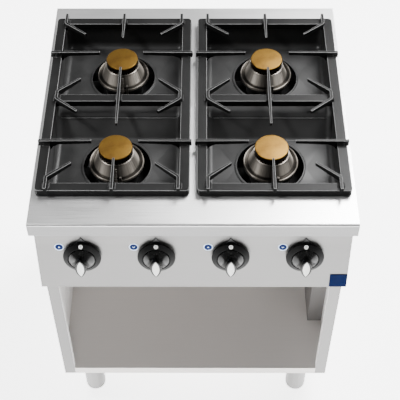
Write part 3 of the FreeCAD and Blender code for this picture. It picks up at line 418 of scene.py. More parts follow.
def turned_brass(name, colour):
    """A faced brass disc: fine turning rings, heat tint and a side painted much darker, as painted shade.
    """
    made = Nodes(name, colour, metallic=1.0, roughness=0.34)
    radius, _, height = made.polar()
    rings = made.rings(radius, 900.0, 3.0, 0.7)
    cloud = made.noise(made.coords(), 38.0, 4.0, 0.6)
    warm = made.ramp(cloud, [
        (0.25, (0.078, 0.040, 0.010)), (0.45, (0.124, 0.067, 0.0145)),
        (0.6, (0.145, 0.081, 0.0165)), (0.8, (0.100, 0.061, 0.0165)),
    ])
    # Below its top the cap is painted much darker: painted shade on its side.
    side = made.spread(height, 1.0, 0.0, 0.0045, 0.0062)
    made.colour(made.mixed(side, warm, (0.09, 0.065, 0.045), "MULTIPLY"))
    made.rough(made.spread(rings, 0.28, 0.50))
    made.bump(rings, 0.7, 0.0003)
    made.bump(made.noise(made.coords(), 420.0, 3.0, 0.6), 0.25, 0.0003)
    return made.material


def spun_nickel(name, colour):
    """Nickel-grey casting with fine lines and five broad bands of painted highlight running down its cone.

    The groove round the cone's foot is painted dark, as painted shade, and the rim outside it is painted
    less dark.
    """
    made = Nodes(name, colour, metallic=1.0, roughness=0.5)
    radius, angle, height = made.polar()
    down = made.joined(made.math("MULTIPLY", angle, 17.0), made.math("MULTIPLY", height, 12.0), 0.0)
    spokes = made.noise(down, 1.0, 4.0, 0.7)
    # Five broad bands by angle brighten the cone: painted highlights.
    painted_highlight_streaks = made.spread(made.math("SINE", made.math("MULTIPLY", angle, 5.0)), 0.0, 0.55, -1.0, 1.0)
    both = made.math("ADD", made.math("MULTIPLY", spokes, 0.85), made.math("SUBTRACT", painted_highlight_streaks, 0.2))
    body = made.ramp(both, [(0.2, tint(colour, 0.3)), (0.78, tint(colour, 1.5))])
    # Painted shade in the groove at the cone's foot; the rim outside it is darkened less.
    groove = made.spread(radius, 0.0, 1.0, 0.0500, 0.0515)
    rim = made.spread(radius, 0.0, 0.4, 0.0580, 0.0595)
    share = made.math("SUBTRACT", groove, rim)
    made.colour(made.mixed(share, body, (0.07, 0.068, 0.066), "MULTIPLY"))
    made.set("Anisotropic", 0.8)
    made.set("Anisotropic Rotation", 0.25)
    tangent = made.add("ShaderNodeTangent", direction_type="RADIAL", axis="Z")
    made.link(tangent.outputs[0], made.shader.inputs["Tangent"])
    made.rough(made.spread(spokes, 0.40, 0.54))
    made.bump(spokes, 0.35, 0.0003)
    return made.material


def moulded(name, colour, roughness, specular=0.5):
    """Moulded plastic with a faint texture."""
    made = Nodes(name, colour, roughness=roughness)
    made.set("Specular IOR Level", specular)
    cloud = made.noise(made.coords(), 60.0, 2.0, 0.5)
    fine = made.noise(made.coords(), 900.0, 2.0, 0.5)
    made.colour(made.ramp(cloud, [(0.3, tint(colour, 0.85)), (0.7, tint(colour, 1.15))]))
    made.rough(made.spread(cloud, roughness - 0.03, roughness + 0.05))
    made.bump(fine, 0.1, 0.0001)
    return made.material


def ringed_plastic(name, colour, roughness):
    """Black plastic with fine concentric lines, as on the knob's bevelled skirt."""
    made = Nodes(name, colour, roughness=roughness)
    made.set("Specular IOR Level", 0.08)
    radius, _, _ = made.polar()
    rings = made.rings(radius, 1500.0, 2.0, 0.6)
    made.colour(made.ramp(rings, [(0.3, tint(colour, 0.75)), (0.7, tint(colour, 1.3))]))
    made.rough(made.spread(rings, roughness - 0.08, roughness + 0.1))
    made.bump(rings, 0.3, 0.0002)
    return made.material


def plain_metal(name, colour, roughness, grain=180.0):
    """Cast or turned metal with a faint mottle."""
    made = Nodes(name, colour, metallic=1.0, roughness=roughness)
    cloud = made.noise(made.coords(), grain, 3.0, 0.6)
    made.colour(made.ramp(cloud, [(0.3, tint(colour, 0.8)), (0.7, tint(colour, 1.15))]))
    made.rough(made.spread(cloud, roughness - 0.06, roughness + 0.1))
    made.bump(cloud, 0.15, 0.0002)
    return made.material


def galvanised(name, colour):
    """Zinc-coated sheet with its spangle."""
    made = Nodes(name, colour, metallic=1.0, roughness=0.45)
    cells = made.add("ShaderNodeTexVoronoi")
    cells.inputs["Scale"].default_value = 90.0
    made.link(made.coords(), cells.inputs["Vector"])
    tone = made.add("ShaderNodeRGBToBW")
    made.link(cells.outputs["Color"], tone.inputs[0])
    made.colour(made.ramp(tone.outputs[0], [(0.2, tint(colour, 0.8)), (0.8, tint(colour, 1.1))]))
    made.rough(made.spread(tone.outputs[0], 0.35, 0.55, 0.2, 0.8))
    return made.material


# The worktop's faces that stand up, such as its lip, are painted darker than its top: painted shade.
STEEL = brushed_steel("steel_worktop", grey(0.62), 0.30, streak=1.8, upright_shade=0.27)
# The panel and the sides use a much darker copy of the worktop's steel: painted shade on faces that stand
# up.
PANEL_STEEL = brushed_steel("steel_panel", (0.155, 0.153, 0.150), 0.38)
SIDE_STEEL = brushed_steel("steel_side", (0.155, 0.153, 0.150), 0.36, along="z")
LINING = brushed_steel("steel_lining", (0.53, 0.507, 0.488), 0.5, along="x", streak=0.6, metallic=0.45)
# A darker copy of the lining steel for the riser cover: painted shade inside the cabinet.
SHADED_LINING = brushed_steel("steel_cover_painted_shade", (0.155, 0.149, 0.144), 0.5, along="z", streak=0.6, metallic=0.5)
# Near-black enamel used as painted shade: on the heat shield's top, the cross members and the pans' seam.
SHADE_BLACK = black_enamel("painted_shade_black", grey(0.005), 0.85, 220.0, 0.0002, 0.03)
# A pale, less metallic copy of the steel for the side panels' inner faces: painted light.
LIT_INNER_STEEL = brushed_steel("steel_inner_painted_light", (0.86, 0.85, 0.84), 0.45, along="y", streak=0.8, metallic=0.3)
# The feet's faces that point left or right are painted darker: painted shade.
FOOT_STEEL = brushed_steel(
    "steel_foot", (0.19, 0.187, 0.184), 0.30, along="z", streak=0.7, flank_shade=0.35)
# Lighter enamel for the bead along the pans' seam: a painted highlight.
PAN_HIGHLIGHT = black_enamel("enamel_pan_painted_highlight", grey(0.045), 0.32, 220.0, 0.0001, 0.5)
PAN_ENAMEL = black_enamel("enamel_pan", grey(0.015), 0.38, 220.0, 0.0002, 0.20)
# Darker, rough enamel for the walls inside the pans' holes: its darkness is painted shade.
COLLAR_SHADE_ENAMEL = black_enamel("enamel_collar_painted_shade", grey(0.006), 0.75, 220.0, 0.0002, 0.1)
# The grate's crest edges get a lighter grey: a painted highlight.
GRATE_ENAMEL = black_enamel("enamel_grate", grey(0.006), 0.36, 420.0, 0.0004, 0.10, edge=grey(0.12))
BRASS = turned_brass("brass_cap", (0.56, 0.36, 0.12))
NICKEL = spun_nickel("nickel_head", (0.215, 0.196, 0.172))
IRON = plain_metal("iron_base", grey(0.03), 0.7)
TAP_BRASS = plain_metal("brass_tap", (0.62, 0.47, 0.22), 0.4)
BRIGHT_STEEL = plain_metal("steel_bright", grey(0.60), 0.3, 400.0)
PILOT_STEEL = plain_metal("steel_pilot", (0.055, 0.050, 0.045), 0.5, 500.0)
ZINC = galvanised("steel_galvanised", (0.52, 0.53, 0.54))
KNOB_BLACK = moulded("plastic_knob", grey(0.002), 0.24, specular=0.3)
KNOB_RING = ringed_plastic("plastic_knob_ring", grey(0.001), 0.42)
BEZEL_BLACK = moulded("plastic_bezel", grey(0.006), 0.5)
SILVER = plain_metal("silver_insert", (0.39, 0.39, 0.38), 0.3, 900.0)
WHITE = moulded("paint_white", (0.82, 0.82, 0.80), 0.35)
BLUE = moulded("paint_blue", (0.002, 0.011, 0.065), 0.55, specular=0.05)
PALE_BLUE = moulded("paint_pale_blue", (0.50, 0.62, 0.82), 0.4)
BADGE_BLUE = moulded("enamel_badge", (0.0005, 0.005, 0.034), 0.5, specular=0.02)


# ---------------------------------------------------------------- worktop and cabinet

SKIRT = 38


def lip_hem(edge):
    """The bottom edge of the worktop's front lip."""
    places = [in_datum(vertex.co) for vertex in edge.verts]
    return all(abs(place.y) < 0.3 and abs(place.z + SKIRT) < 0.3 for place in places)


def repaint(data, material, chosen):
    """Gives the chosen faces a second material."""
    data.materials.append(material)
    for face in data.polygons:
        if chosen(face):
            face.material_index = 1


def make_sheet_metal():
    """Worktop, panel, cabinet, linings and feet. The faces that point inwards are paler, as painted light.
    """
    refined("worktop", "range", STEEL, width=0.4, hems=lip_hem)
    refined("control_panel", "range", PANEL_STEEL, width=0.4)
    for side, outward in SIDES.items():
        made = refined(f"side_panel_{side}", "range", SIDE_STEEL, width=0.35)
        repaint(made.data, LIT_INNER_STEEL, lambda face: face.normal.x * outward < -0.9)
    refined("bottom_shelf", "range", LINING, width=0.35)
    refined("riser_cover", "range", SHADED_LINING, width=0.3)
    made = refined("heat_shield", "range", LINING, width=0.3)
    # The heat shield's upward faces are painted near black: painted shade under the pans.
    repaint(made.data, SHADE_BLACK, lambda face: face.normal.z > 0.5)
    refined("back_panel", "range", LINING, width=0.3)
    refined("back_panel_screws", "range", BRIGHT_STEEL, width=0.5)
    refined("foot_sleeves", "range", FOOT_STEEL, width=0.5)
    for row in ROWS:
        for side in SIDES:
            corner = f"{side}_{row}"
            refined(f"foot_{corner}", f"leg_{corner}", FOOT_STEEL, width=1.0, segments=3)
    for row in ROWS:
        # The cross members are painted near black: painted shade below the pans.
        refined(f"{row}_cross_member", "range", SHADE_BLACK, width=0.4)


# ---------------------------------------------------------------- drip pans

# The divider between a front and a rear pan, and a radius just past a pan's hole.
DIVIDER_FRONT = MODULE_Y - 25
DIVIDER_TOP = -22
PAN_HOLE = 78


def make_pans():
    """Four drip pans, and the seam of the two pans on each side."""
    for side, hand in SIDES.items():
        for row, way in ROWS.items():
            made = refined(f"drip_pan_{side}_{row}", "range", PAN_ENAMEL, width=0)
            centre = burner_centre(hand, way)
            # The walls inside the hole get the darker enamel: painted shade.
            repaint(made.data, COLLAR_SHADE_ENAMEL, lambda face: in_hole_wall(face, centre))
        make_pan_seam(side, hand * MODULE_X)


def in_hole_wall(face, centre):
    """Tells the wall standing inside a pan's hole, where the enamel is unglazed and painted darker, as
    painted shade.
    """
    away = (face.center - centre).to_2d()
    return away.length < PAN_HOLE * MM and abs(face.normal.z) < 0.3


def make_pan_seam(side, middle):
    """The lap of the two pans on the divider: a rounded bead in lighter enamel, as a painted highlight,
    and a near-black strip behind it, as painted shade in the joint.
    """
    # The bead's lighter enamel is a painted highlight; the near-black joint strip is painted shade.
    for part, back, half_width, half_height, material in (
            ("bead", -1.0, 1.3, 0.9, PAN_HIGHLIGHT), ("joint", 1.9, 1.5, 0.35, SHADE_BLACK)):
        mesh = bmesh.new()
        sections = []
        for x, share in ((-138, 0.3), (-136, 0.8), (-133, 1.0), (133, 1.0), (136, 0.8), (138, 0.3)):
            sections.append([
                at(middle + x, DIVIDER_FRONT + back + half_width * share * math.cos(turn),
                   DIVIDER_TOP + half_height * share * math.sin(turn))
                for turn in (2 * math.pi * k / 12 for k in range(12))])
        loft(mesh, sections)
        bmesh.ops.recalc_face_normals(mesh, faces=mesh.faces)
        piece(f"drip_pan_{side}_{part}", mesh, "range", material)


# ---------------------------------------------------------------- pan supports

# Half the size of one casting, its bar's width and heights, and where its corner fingers
# stand and end.
GRATE_HALF_X = 166
GRATE_HALF_Y = 280
BAR = 22
BAR_LOW = 1
BAR_TOP = 18
FINGER_TOP = 30
CORNER_X = GRATE_HALF_X - 24
CORNER_TIP_X = 92

# Blades are lists of stations. Each one has its lower edge, top and half thickness.
HEEL = (16.5, FINGER_TOP - 0.6, 2.9)
HEEL_END = (15.5, FINGER_TOP, 3.2)
TIP_START = (21.5, FINGER_TOP, 2.4)
TIP = (22, FINGER_TOP - 0.8, 2.1)

# Root pads swell from the bar up to the blade. Each row is (half width, height).
PAD_FLARE = [(8.4, 18.2), (7.0, 18.7), (5.9, 19.6), (5.1, 20.9), (4.6, 22.6), (4.3, 24.6)]
PAD_FOOT = 8.6
PAD_OUTER = 9.4
PAD_INNER = 11.2


def pressed_outline(outlines, low, high, edge):
    """A plate with windows and rounded edges, from closed outlines in millimetres."""
    curve = bpy.data.curves.new("outline", "CURVE")
    curve.dimensions = "2D"
    curve.fill_mode = "BOTH"
    curve.extrude = ((high - low) / 2 - edge) * MM
    curve.bevel_depth = edge * MM
    curve.bevel_resolution = 2
    curve.offset = -edge * MM
    for outline in outlines:
        spline = curve.splines.new("POLY")
        spline.points.add(len(outline) - 1)
        for point, (x, y) in zip(spline.points, outline):
            point.co = (x * MM, y * MM, 0, 1)
        spline.use_cyclic_u = True
    holder = bpy.data.objects.new("outline", curve)
    bpy.context.scene.collection.objects.link(holder)
    bpy.context.view_layer.update()
    data = bpy.data.meshes.new_from_object(holder.evaluated_get(bpy.context.evaluated_depsgraph_get()))
    mesh = bmesh.new()
    mesh.from_mesh(data)
    bmesh.ops.remove_doubles(mesh, verts=mesh.verts, dist=WELD)
    mesh.transform(Matrix.Translation((0, 0, (low + high) / 2 * MM)))
    bpy.data.objects.remove(holder)
    bpy.data.curves.remove(curve)
    bpy.data.meshes.remove(data)
    return mesh


def blade(mesh, stations):
    """A standing blade with rounded crest through (x, y, low, top, half thickness) stations."""
    sections = []
    for index, (x, y, low, top, half) in enumerate(stations):
        before = Vector(stations[max(index - 1, 0)][:2])
        after = Vector(stations[min(index + 1, len(stations) - 1)][:2])
        way = (after - before).normalized()
        across = Vector((-way.y, way.x))
        edge = 0.9
        shape = [
            (1, low), (-1, low), (-1, top - edge), (edge * 0.3 / half - 1, top - edge * 0.3),
            (edge / half - 1, top), (1 - edge / half, top), (1 - edge * 0.3 / half, top - edge * 0.3),
            (1, top - edge)]
        sections.append([
            Vector((x + side * across.x * half, y + side * across.y * half, height)) * MM
            for side, height in shape])
    loft(mesh, sections)


def root_pad(mesh, x, y, heading):
    """A pad with one round end on the bar, filleted up against the blade it carries."""
    way = heading_vector(heading)
    side = Vector((-way.y, way.x))
    centre = PAD_FOOT - PAD_OUTER
    rings = []
    for radius, height in [(PAD_FOOT, 17.4)] + PAD_FLARE:
        outline = [(PAD_INNER, radius), (centre * 0.5, radius)]
        outline += [
            (centre - radius * math.sin(a), radius * math.cos(a))
            for a in (math.pi * k / 16 for k in range(17))]
        outline += [(centre * 0.5, -radius), (PAD_INNER, -radius)]
        rings.append([
            Vector((x + way.x * s + side.x * t, y + way.y * s + side.y * t, height)) * MM
            for s, t in outline])
    loft(mesh, rings)


def straight_finger(mesh, x, y, heading, length):
    """A finger from its root on a bar to its tip, with a heel down the bar's inner side."""
    way = heading_vector(heading)
    shape = [
        (-15, *HEEL), (-14, *HEEL_END), (4, 8, FINGER_TOP, 3.4), (12, 4, FINGER_TOP, 3.4),
        (17, 12, FINGER_TOP, 3.3), (30, 19, FINGER_TOP, 3.1), (length - 1, *TIP_START),
        (length, *TIP),
    ]
    blade(mesh, [(x + way.x * s, y + way.y * s, low, top, half) for s, low, top, half in shape])
    root_pad(mesh, x, y, heading)


def corner_finger(mesh, x, rows, tip_x):
    """A finger from an end bar: straight back, then turned towards the burner."""
    end_y, bend_y, tip_y = rows
    way = 1 if bend_y > end_y else -1
    turn = Vector((tip_x - x, tip_y - bend_y)).normalized()
    blade(mesh, [
        (x, end_y - way * 15, *HEEL), (x, end_y - way * 14, *HEEL_END),
        (x, end_y + way * 4, 8, FINGER_TOP, 3.4), (x, end_y + way * 12, 5, FINGER_TOP, 3.4),
        (x, bend_y - way * 2, 12, FINGER_TOP, 3.3),
        (x + turn.x * 3, bend_y + turn.y * 3, 16, FINGER_TOP, 3.2),
        (tip_x - turn.x, tip_y - turn.y, *TIP_START), (tip_x, tip_y, *TIP),
    ])
    root_pad(mesh, x, end_y, 90 * way)


def middle_finger(mesh, x, tip_x, tip_step):
    """The blade across the crossbar whose two arms turn in towards both burners."""
    half = 12
    turn = Vector((tip_x - x, tip_step - half)).normalized()
    arm = [
        (tip_x, tip_step, *TIP), (tip_x - turn.x, tip_step - turn.y, *TIP_START),
        (x + turn.x * 3, half + turn.y * 3, 15, FINGER_TOP, 3.2), (x, half - 2, 8, FINGER_TOP, 3.3),
    ]
    blade(mesh, [
        (a, MODULE_Y + way * b, low, top, thick)
        for way, part in ((-1, arm), (1, list(reversed(arm)))) for a, b, low, top, thick in part])
    crossing_pad(mesh, x)


def crossing_pad(mesh, x):
    """The pad under a blade that crosses the whole crossbar."""
    for hand in (-1, 1):
        rings = []
        for reach in (-11.3, 11.3):
            rings.append([
                Vector((x + hand * across, MODULE_Y + reach, height)) * MM for across, height in (
                    (0, 17.0), (8.4, 17.4), (8.2, 18.2), (6.8, 18.7), (5.8, 19.6), (5.0, 20.9),
                    (4.5, 22.6), (4.2, 24.6), (0, 24.6))])
        loft(mesh, rings)


def grate_mesh():
    """One casting centred on its module: bars, crossbar, fingers and their root pads."""
    near, far = MODULE_Y - GRATE_HALF_Y, MODULE_Y + GRATE_HALF_Y

    def outlines(grow, corner):
        outer = rounded_path([
            (-GRATE_HALF_X - grow, near - grow, corner), (GRATE_HALF_X + grow, near - grow, corner),
            (GRATE_HALF_X + grow, far + grow, corner), (-GRATE_HALF_X - grow, far + grow, corner)])
        side = GRATE_HALF_X - BAR
        windows = []
        for low, high in ((near + BAR, MODULE_Y - BAR / 2), (MODULE_Y + BAR / 2, far - BAR)):
            windows.append(rounded_path([
                (-side, low, 4), (side, low, 4), (side, high, 4), (-side, high, 4)], steps=4))
        return [outer, *windows]

    mesh = pressed_outline(outlines(0, 9), BAR_LOW + 7, BAR_TOP, 1.1)
    join_into(mesh, pressed_outline(outlines(0.6, 10), BAR_LOW, BAR_LOW + 8.5, 0.8))
    for row in (-1, 1):
        burner_y = MODULE_Y + row * BURNER_STEP
        end_y = MODULE_Y + row * (GRATE_HALF_Y - BAR / 2)
        for hand in (-1, 1):
            straight_finger(
                mesh, hand * (GRATE_HALF_X - BAR / 2), burner_y, 180 if hand > 0 else 0, 103)
            rows = (end_y, end_y - row * 20, burner_y + row * 65)
            corner_finger(mesh, hand * CORNER_X, rows, hand * CORNER_TIP_X)
        straight_finger(mesh, 0, end_y, -90 * row, 73)
    half_blade = [(12, 5, FINGER_TOP, 3.4), (30, 18, FINGER_TOP, 3.1), (91, *TIP_START), (92, *TIP)]
    blade(mesh, [
        *((0, MODULE_Y - s, *rest) for s, *rest in reversed(half_blade)),
        (0, MODULE_Y, 4, FINGER_TOP, 3.4),
        *((0, MODULE_Y + s, *rest) for s, *rest in half_blade)])
    crossing_pad(mesh, 0)
    for hand in (-1, 1):
        middle_finger(mesh, hand * CORNER_X, hand * CORNER_TIP_X, 53)
    bmesh.ops.recalc_face_normals(mesh, faces=mesh.faces)
    return mesh


def make_grates():
    for side, hand in SIDES.items():
        place = Matrix.Translation(at(hand * MODULE_X, 0, 0))
        made = piece(
            f"grate_{side}_casting", grate_mesh(), f"grate_{side}_body", GRATE_ENAMEL,
            place=place, nodes=(f"grate_{side}",))
        mark_highlight_edges(made.data)
        even_shading(made)


def mark_highlight_edges(data):
    """Stores 1 on the narrow faces that round off the upper edges, and 0 elsewhere; the enamel paints a
    highlight on the faces with 1.
    """
    mark = data.attributes.new("edge", "FLOAT", "FACE")
    for face, value in zip(data.polygons, mark.data):
        height = face.center.z / MM
        crest = BAR_TOP - 1.2 < height < BAR_TOP or height > FINGER_TOP - 1
        value.value = 1.0 if crest and 0.12 < face.normal.z < 0.985 else 0.0


# ---------------------------------------------------------------- burners

# Flame slots run up the cap's side to SLOT_TOP and are cut in to the radius SLOT_BOTTOM.
CAP_SLOTS = 36
CAP_RADIUS = 38.1
SLOT_BOTTOM = 34.2
SLOT_TOP = -1


def make_cap(number, place):
    """A brass disc with flame slots in its rim and a spigot below."""
    profile = rounded_path([
        (0, 7, 0), (CAP_RADIUS - 1.5, 7, 0.8), (CAP_RADIUS, 5.2, 0.8), (CAP_RADIUS, SLOT_TOP, 0),
        (CAP_RADIUS, SLOT_TOP - 0.1, 0), (CAP_RADIUS, -11, 0.3), (33, -11, 0.3), (33, 1, 0.5),
        (24, 1, 0.5), (24, -18, 0.5), (20, -18, 0.5), (20, 1, 0), (0, 1, 0)], steps=4, closed=False)

    def slotted(angle, radius, height):
        in_slot = (angle * CAP_SLOTS / (2 * math.pi)) % 1 < 0.34
        below = height < SLOT_TOP - 0.05
        return SLOT_BOTTOM if in_slot and radius > SLOT_BOTTOM and below else radius

    mesh = lathe(profile, steps=CAP_SLOTS * 9, bend=slotted)
    piece(
        f"burner_cap_{number}_turned", mesh, f"cap_{number}", BRASS, place=place,
        nodes=(f"burner_cap_{number}",))


def make_head(number, place):
    """A conical head: deck under the cap, cone, shadow groove and raised rim."""
    profile = rounded_path([
        (24.4, -16, 0), (24.4, -11, 0.3), (40.6, -11, 0.6), (40.8, -14, 1.5), (43.5, -21, 12),
        (50.6, -39, 4), (51.6, -41.4, 0.4), (53.4, -41.6, 0.8), (56.5, -40.6, 6), (59.6, -39.4, 0.6),
        (61.4, -39.6, 0.7), (62, -45, 0.3), (50, -45, 0), (34, -20, 0), (34, -16, 0)], steps=5)
    mesh = lathe(profile, steps=144, closed=True)
    piece(
        f"burner_head_{number}_turned", mesh, "range", NICKEL, place=place,
        nodes=(f"burner_head_{number}",))


def make_pilots():
    """Pilot burners: a ribbed tube that leans from the gap beside each head to its flame ring."""
    mesh = bmesh.new()
    knee, tip = Vector((2, -67, -40)), Vector((2, -48.5, -12))
    lean = (tip - knee).to_track_quat("Z", "Y").to_matrix().to_4x4()
    reach = (tip - knee).length
    ribs = 9
    rib = [(2.3, 0), (3.2, 0.6), (3.5, 1.8), (3.2, 3.0), (2.3, 3.6)]
    ribbed = [(0, -1.5), (2.6, -1.2)]
    ribbed += [(radius, k * reach / ribs + height) for k in range(ribs) for radius, height in rib]
    ribbed += [(2.0, reach + 0.4), (0, reach + 0.5)]
    stem = [(0, -22), (2.8, -22), (2.8, -1), (2.2, 0.4), (0, 0.6)]
    for side, row in BURNERS:
        place = Matrix.Translation(burner_centre(side, row) + knee * MM)
        for profile, turn in ((ribbed, lean), (stem, Matrix())):
            part = lathe(profile, steps=20)
            part.transform(place @ turn)
            join_into(mesh, part)
    piece("pilot_stems", mesh, "range", PILOT_STEEL, nodes=("pilot_burners",))
    refined("thermocouples", "range", PILOT_STEEL, width=0.3)


def make_burners():
    for number, (side, row) in enumerate(BURNERS, 1):
        place = Matrix.Translation(burner_centre(side, row))
        make_cap(number, place)
        make_head(number, place)
        refined(f"burner_base_{number}", "range", IRON, width=0.6)
    make_pilots()


# ---------------------------------------------------------------- knobs

def panel_place(number):
    """The panel's datum at a knob: Z out of the panel, Y up its slope."""
    joint = JOINTS[f"tap_{number}_turn"]
    out = Vector(joint["axis"]).normalized()
    across = Vector((1, 0, 0))
    up = out.cross(across)
    turn = Matrix((across, up, out)).transposed().to_4x4()
    return Matrix.Translation(Vector(joint["pos_m"])) @ turn


def lens_radius(angle, half_length, half_width):
    """Distance from the centre to a leaf outline whose points are at +Y and -Y."""
    arc = (half_length ** 2 + half_width ** 2) / (2 * half_width)
    shift = arc - half_width
    across = abs(math.cos(angle))
    return math.sqrt(arc ** 2 - (shift * math.sin(angle)) ** 2) - shift * across


def leaf_loft(levels, steps):
    """A solid through (height, round radius, share of leaf, half length, half width) levels."""
    mesh = bmesh.new()
    sections = []
    for height, round_radius, share, half_length, half_width in levels:
        section = []
        for step in range(steps):
            angle = 2 * math.pi * step / steps
            leaf = lens_radius(angle, half_length, half_width)
            size = (1 - share) * round_radius + share * leaf
            section.append(Vector((size * math.cos(angle), size * math.sin(angle), height)) * MM)
        sections.append(section)
    loft(mesh, sections)
    return mesh


def make_knob(number):
    """A knob pointing up: bevelled ring, hub that narrows to a grip, bright insert, off mark."""
    place = panel_place(number)
    body = f"dial_{number}"
    ring = rounded_path([
        (30.6, 12, 0), (30.6, 16, 0.4), (31.8, 16, 0.6), (42.2, 10.2, 0.8), (42.7, 8, 0.5),
        (38.5, 8, 0.4), (36, 11.4, 0), (28, 11.4, 0)], steps=4)
    mesh = lathe(ring, steps=128, closed=True)
    piece(f"knob_{number}_ring", mesh, body, KNOB_RING, place=place)

    hub = [
        (11.5, 29.0, 0.0), (16.6, 29.0, 0.0), (17.6, 28.4, 0.0), (20, 26.6, 0.10), (24, 24.0, 0.28),
        (29, 21.4, 0.5), (34, 19.2, 0.70), (39, 17.4, 0.87), (43, 16.4, 0.97), (45.2, 16.2, 1.0),
    ]
    grip = (25, 12)
    crest = (46.0, 0, 1.0, grip[0] * 0.965, grip[1] * 0.965)
    mesh = leaf_loft([(*level, *grip) for level in hub] + [crest], 96)
    piece(
        f"knob_{number}_handle", mesh, body, KNOB_BLACK, place=place,
        nodes=(f"knob_{number}",))

    insert = [(45.6, 0, 1, 22.2, 7.9), (46.3, 0, 1, 22.0, 7.7), (46.7, 0, 1, 21.2, 6.9)]
    piece(
        f"knob_{number}_insert", leaf_loft(insert, 64), body, SILVER, place=place)

    slope = Matrix.Rotation(-math.atan2(6, 9.6), 4, "X")
    dot_place = place @ Matrix.Translation((0, 36.8 * MM, 13.1 * MM)) @ slope
    mesh = lathe([(0, 0.5), (4.3, 0.5), (4.6, 0.2), (4.6, -0.6), (0, -0.6)], steps=40)
    piece(f"knob_{number}_dot", mesh, body, WHITE, place=dot_place)
    mesh = lathe([(1.0, 0.5), (1.0, 0.62), (1.55, 0.62), (1.55, 0.5)], steps=32, closed=True)
    for vertex in mesh.verts:
        vertex.co.y *= 1.55
    piece(f"knob_{number}_zero", mesh, body, BEZEL_BLACK, place=dot_place)
    dressed(f"spindle_{number}", BRIGHT_STEEL)


def make_markers(number):
    """A printed disc left of each knob that shows which burner it serves."""
    place = panel_place(number) @ Matrix.Translation((-50 * MM, 24 * MM, 0))
    mesh = lathe([(0, 0.25), (10.8, 0.25), (10.8, 0.0), (0, 0.0)], steps=48)
    piece(f"marker_{number}_rim", mesh, "range", PALE_BLUE, place=place)
    mesh = lathe([(0, 0.4), (8.6, 0.4), (8.6, 0.05), (0, 0.05)], steps=48)
    piece(f"marker_{number}_disc", mesh, "range", BLUE, place=place)
    mesh = bmesh.new()
    if number % 2:
        slab(mesh, [(-2.4, -1.8), (2.4, -1.8), (0, 2.0)], 0.3, 0.6)
    else:
        slab(mesh, [(-3.0, 1.1), (0, -2.4), (0, -0.6), (-2.1, 2.0)], 0.3, 0.6)
        slab(mesh, [(0, -2.4), (3.0, 1.1), (2.1, 2.0), (0, -0.6)], 0.3, 0.6)
    bmesh.ops.recalc_face_normals(mesh, faces=mesh.faces)
    piece(f"marker_{number}_sign", mesh, "range", PALE_BLUE, place=place)


def make_controls():
    """Knobs, their printed marks, the taps behind them and the blank badge."""
    refined("knob_bezels", "range", BEZEL_BLACK, width=0.6)
    for number in range(1, len(BURNERS) + 1):
        make_knob(number)
        make_markers(number)
        dressed(f"valve_body_{number}", TAP_BRASS)
        dressed(f"valve_plug_{number}", TAP_BRASS)
    refined("panel_badge", "range", BADGE_BLUE, width=0.6)


def make_gas_parts():
    """Pipes, injectors and the inlet fitting, which hardly show."""
    for node in ("gas_manifold", "gas_riser_pipe", "supply_tubes"):
        dressed(node, ZINC)
    dressed("injectors", TAP_BRASS)
    refined("gas_inlet_fitting", "range", TAP_BRASS, width=0.4)


# ---------------------------------------------------------------- stage, lights and camera

def area_light(name, place, target, size, power):
    """A softbox at a place in metres, turned to its target."""
    data = bpy.data.lights.new(name, "AREA")
    data.shape = "RECTANGLE"
    data.size, data.size_y = size
    data.energy = power
    light = bpy.data.objects.new(name, data)
    light.location = place
    light.rotation_euler = (Vector(target) - Vector(place)).to_track_quat("-Z", "Y").to_euler()
    bpy.context.scene.collection.objects.link(light)


def make_stage():
    """A pale floor that glows evenly, as a lit table does."""
    mesh = bmesh.new()
    bmesh.ops.create_grid(mesh, x_segments=1, y_segments=1, size=14)
    data = bpy.data.meshes.new("floor")
    mesh.to_mesh(data)
    mesh.free()
    floor = bpy.data.objects.new("floor", data)
    bpy.context.scene.collection.objects.link(floor)
    made = Nodes("floor_pale", (0.9, 0.9, 0.9), roughness=0.8)
    made.set("Emission Color", (1, 1, 1, 1))
    made.set("Emission Strength", 3.8)
    cloud = made.noise(made.coords(), 2.0, 2.0, 0.5)
    made.colour(made.ramp(cloud, [(0.3, (0.90, 0.90, 0.90)), (0.7, (0.92, 0.92, 0.92))]))
    data.materials.append(made.material)


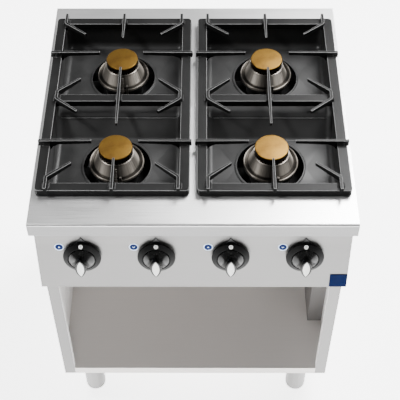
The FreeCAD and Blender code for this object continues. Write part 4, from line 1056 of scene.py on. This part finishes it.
def make_light():
    """A grey studio, a touch brighter towards the camera, with softboxes round the range."""
    world = bpy.data.worlds.new("studio")
    world.use_nodes = True
    tree = world.node_tree
    backdrop = tree.nodes["Background"]
    toward = tree.nodes.new("ShaderNodeVectorMath")
    toward.operation = "DOT_PRODUCT"
    toward.inputs[1].default_value = Vector((0.05, -0.66, 0.75)).normalized()
    tree.links.new(tree.nodes.new("ShaderNodeTexCoord").outputs["Generated"], toward.inputs[0])
    fade = tree.nodes.new("ShaderNodeMapRange")
    fade.interpolation_type = "SMOOTHSTEP"
    for name, number in (("From Min", 0.35), ("From Max", 0.95), ("To Min", 0.34), ("To Max", 0.36)):
        fade.inputs[name].default_value = number
    tree.links.new(toward.outputs["Value"], fade.inputs["Value"])
    tree.links.new(fade.outputs["Result"], backdrop.inputs["Strength"])
    backdrop.inputs["Color"].default_value = (1, 1, 1, 1)
    bpy.context.scene.world = world
    area_light("overhead_right", (1.2, 1.05, 2.9), (0.3, -0.15, 0.85), (1.6, 1.1), 250)
    area_light("back_right", (2.1, 1.9, 2.1), (0.1, 0, 0.8), (1.0, 0.9), 35)
    area_light("back_left", (-2.1, 1.9, 2.1), (-0.1, 0, 0.8), (1.0, 0.9), 50)
    area_light("side_left", (-1.6, -0.1, 3.1), (0, 0, 0.8), (0.4, 0.4), 90)
    area_light("side_right", (1.5, 0.0, 3.2), (0, 0, 0.8), (0.5, 0.5), 20)
    area_light("low_front", (0, -2.1, 0.62), (0, 0.2, 0.25), (1.3, 0.6), 40)


def make_camera():
    """A camera in front of the range and well above it, looking down at about 50 degrees."""
    pitch, yaw, roll = (math.radians(a) for a in (50.569, -0.297, 0.186))
    ahead = Vector((math.sin(yaw) * math.cos(pitch), math.cos(yaw) * math.cos(pitch), -math.sin(pitch)))
    right = Vector((math.cos(yaw), -math.sin(yaw), 0))
    down = ahead.cross(right)
    level, drop = math.cos(roll), math.sin(roll)
    across = right * level + down * drop
    below = down * level - right * drop
    turn = Matrix((across, -below, -ahead)).transposed().to_4x4()
    data = bpy.data.cameras.new("camera")
    data.sensor_width = 36.0
    data.lens = 88.8
    data.clip_end = 60
    camera = bpy.data.objects.new("camera", data)
    camera.matrix_world = Matrix.Translation(at(21.6, -1269.2, 1627.7)) @ turn
    bpy.context.scene.collection.objects.link(camera)
    bpy.context.scene.camera = camera


make_sheet_metal()
make_pans()
make_grates()
make_burners()
make_controls()
make_gas_parts()
make_stage()
make_light()
make_camera()
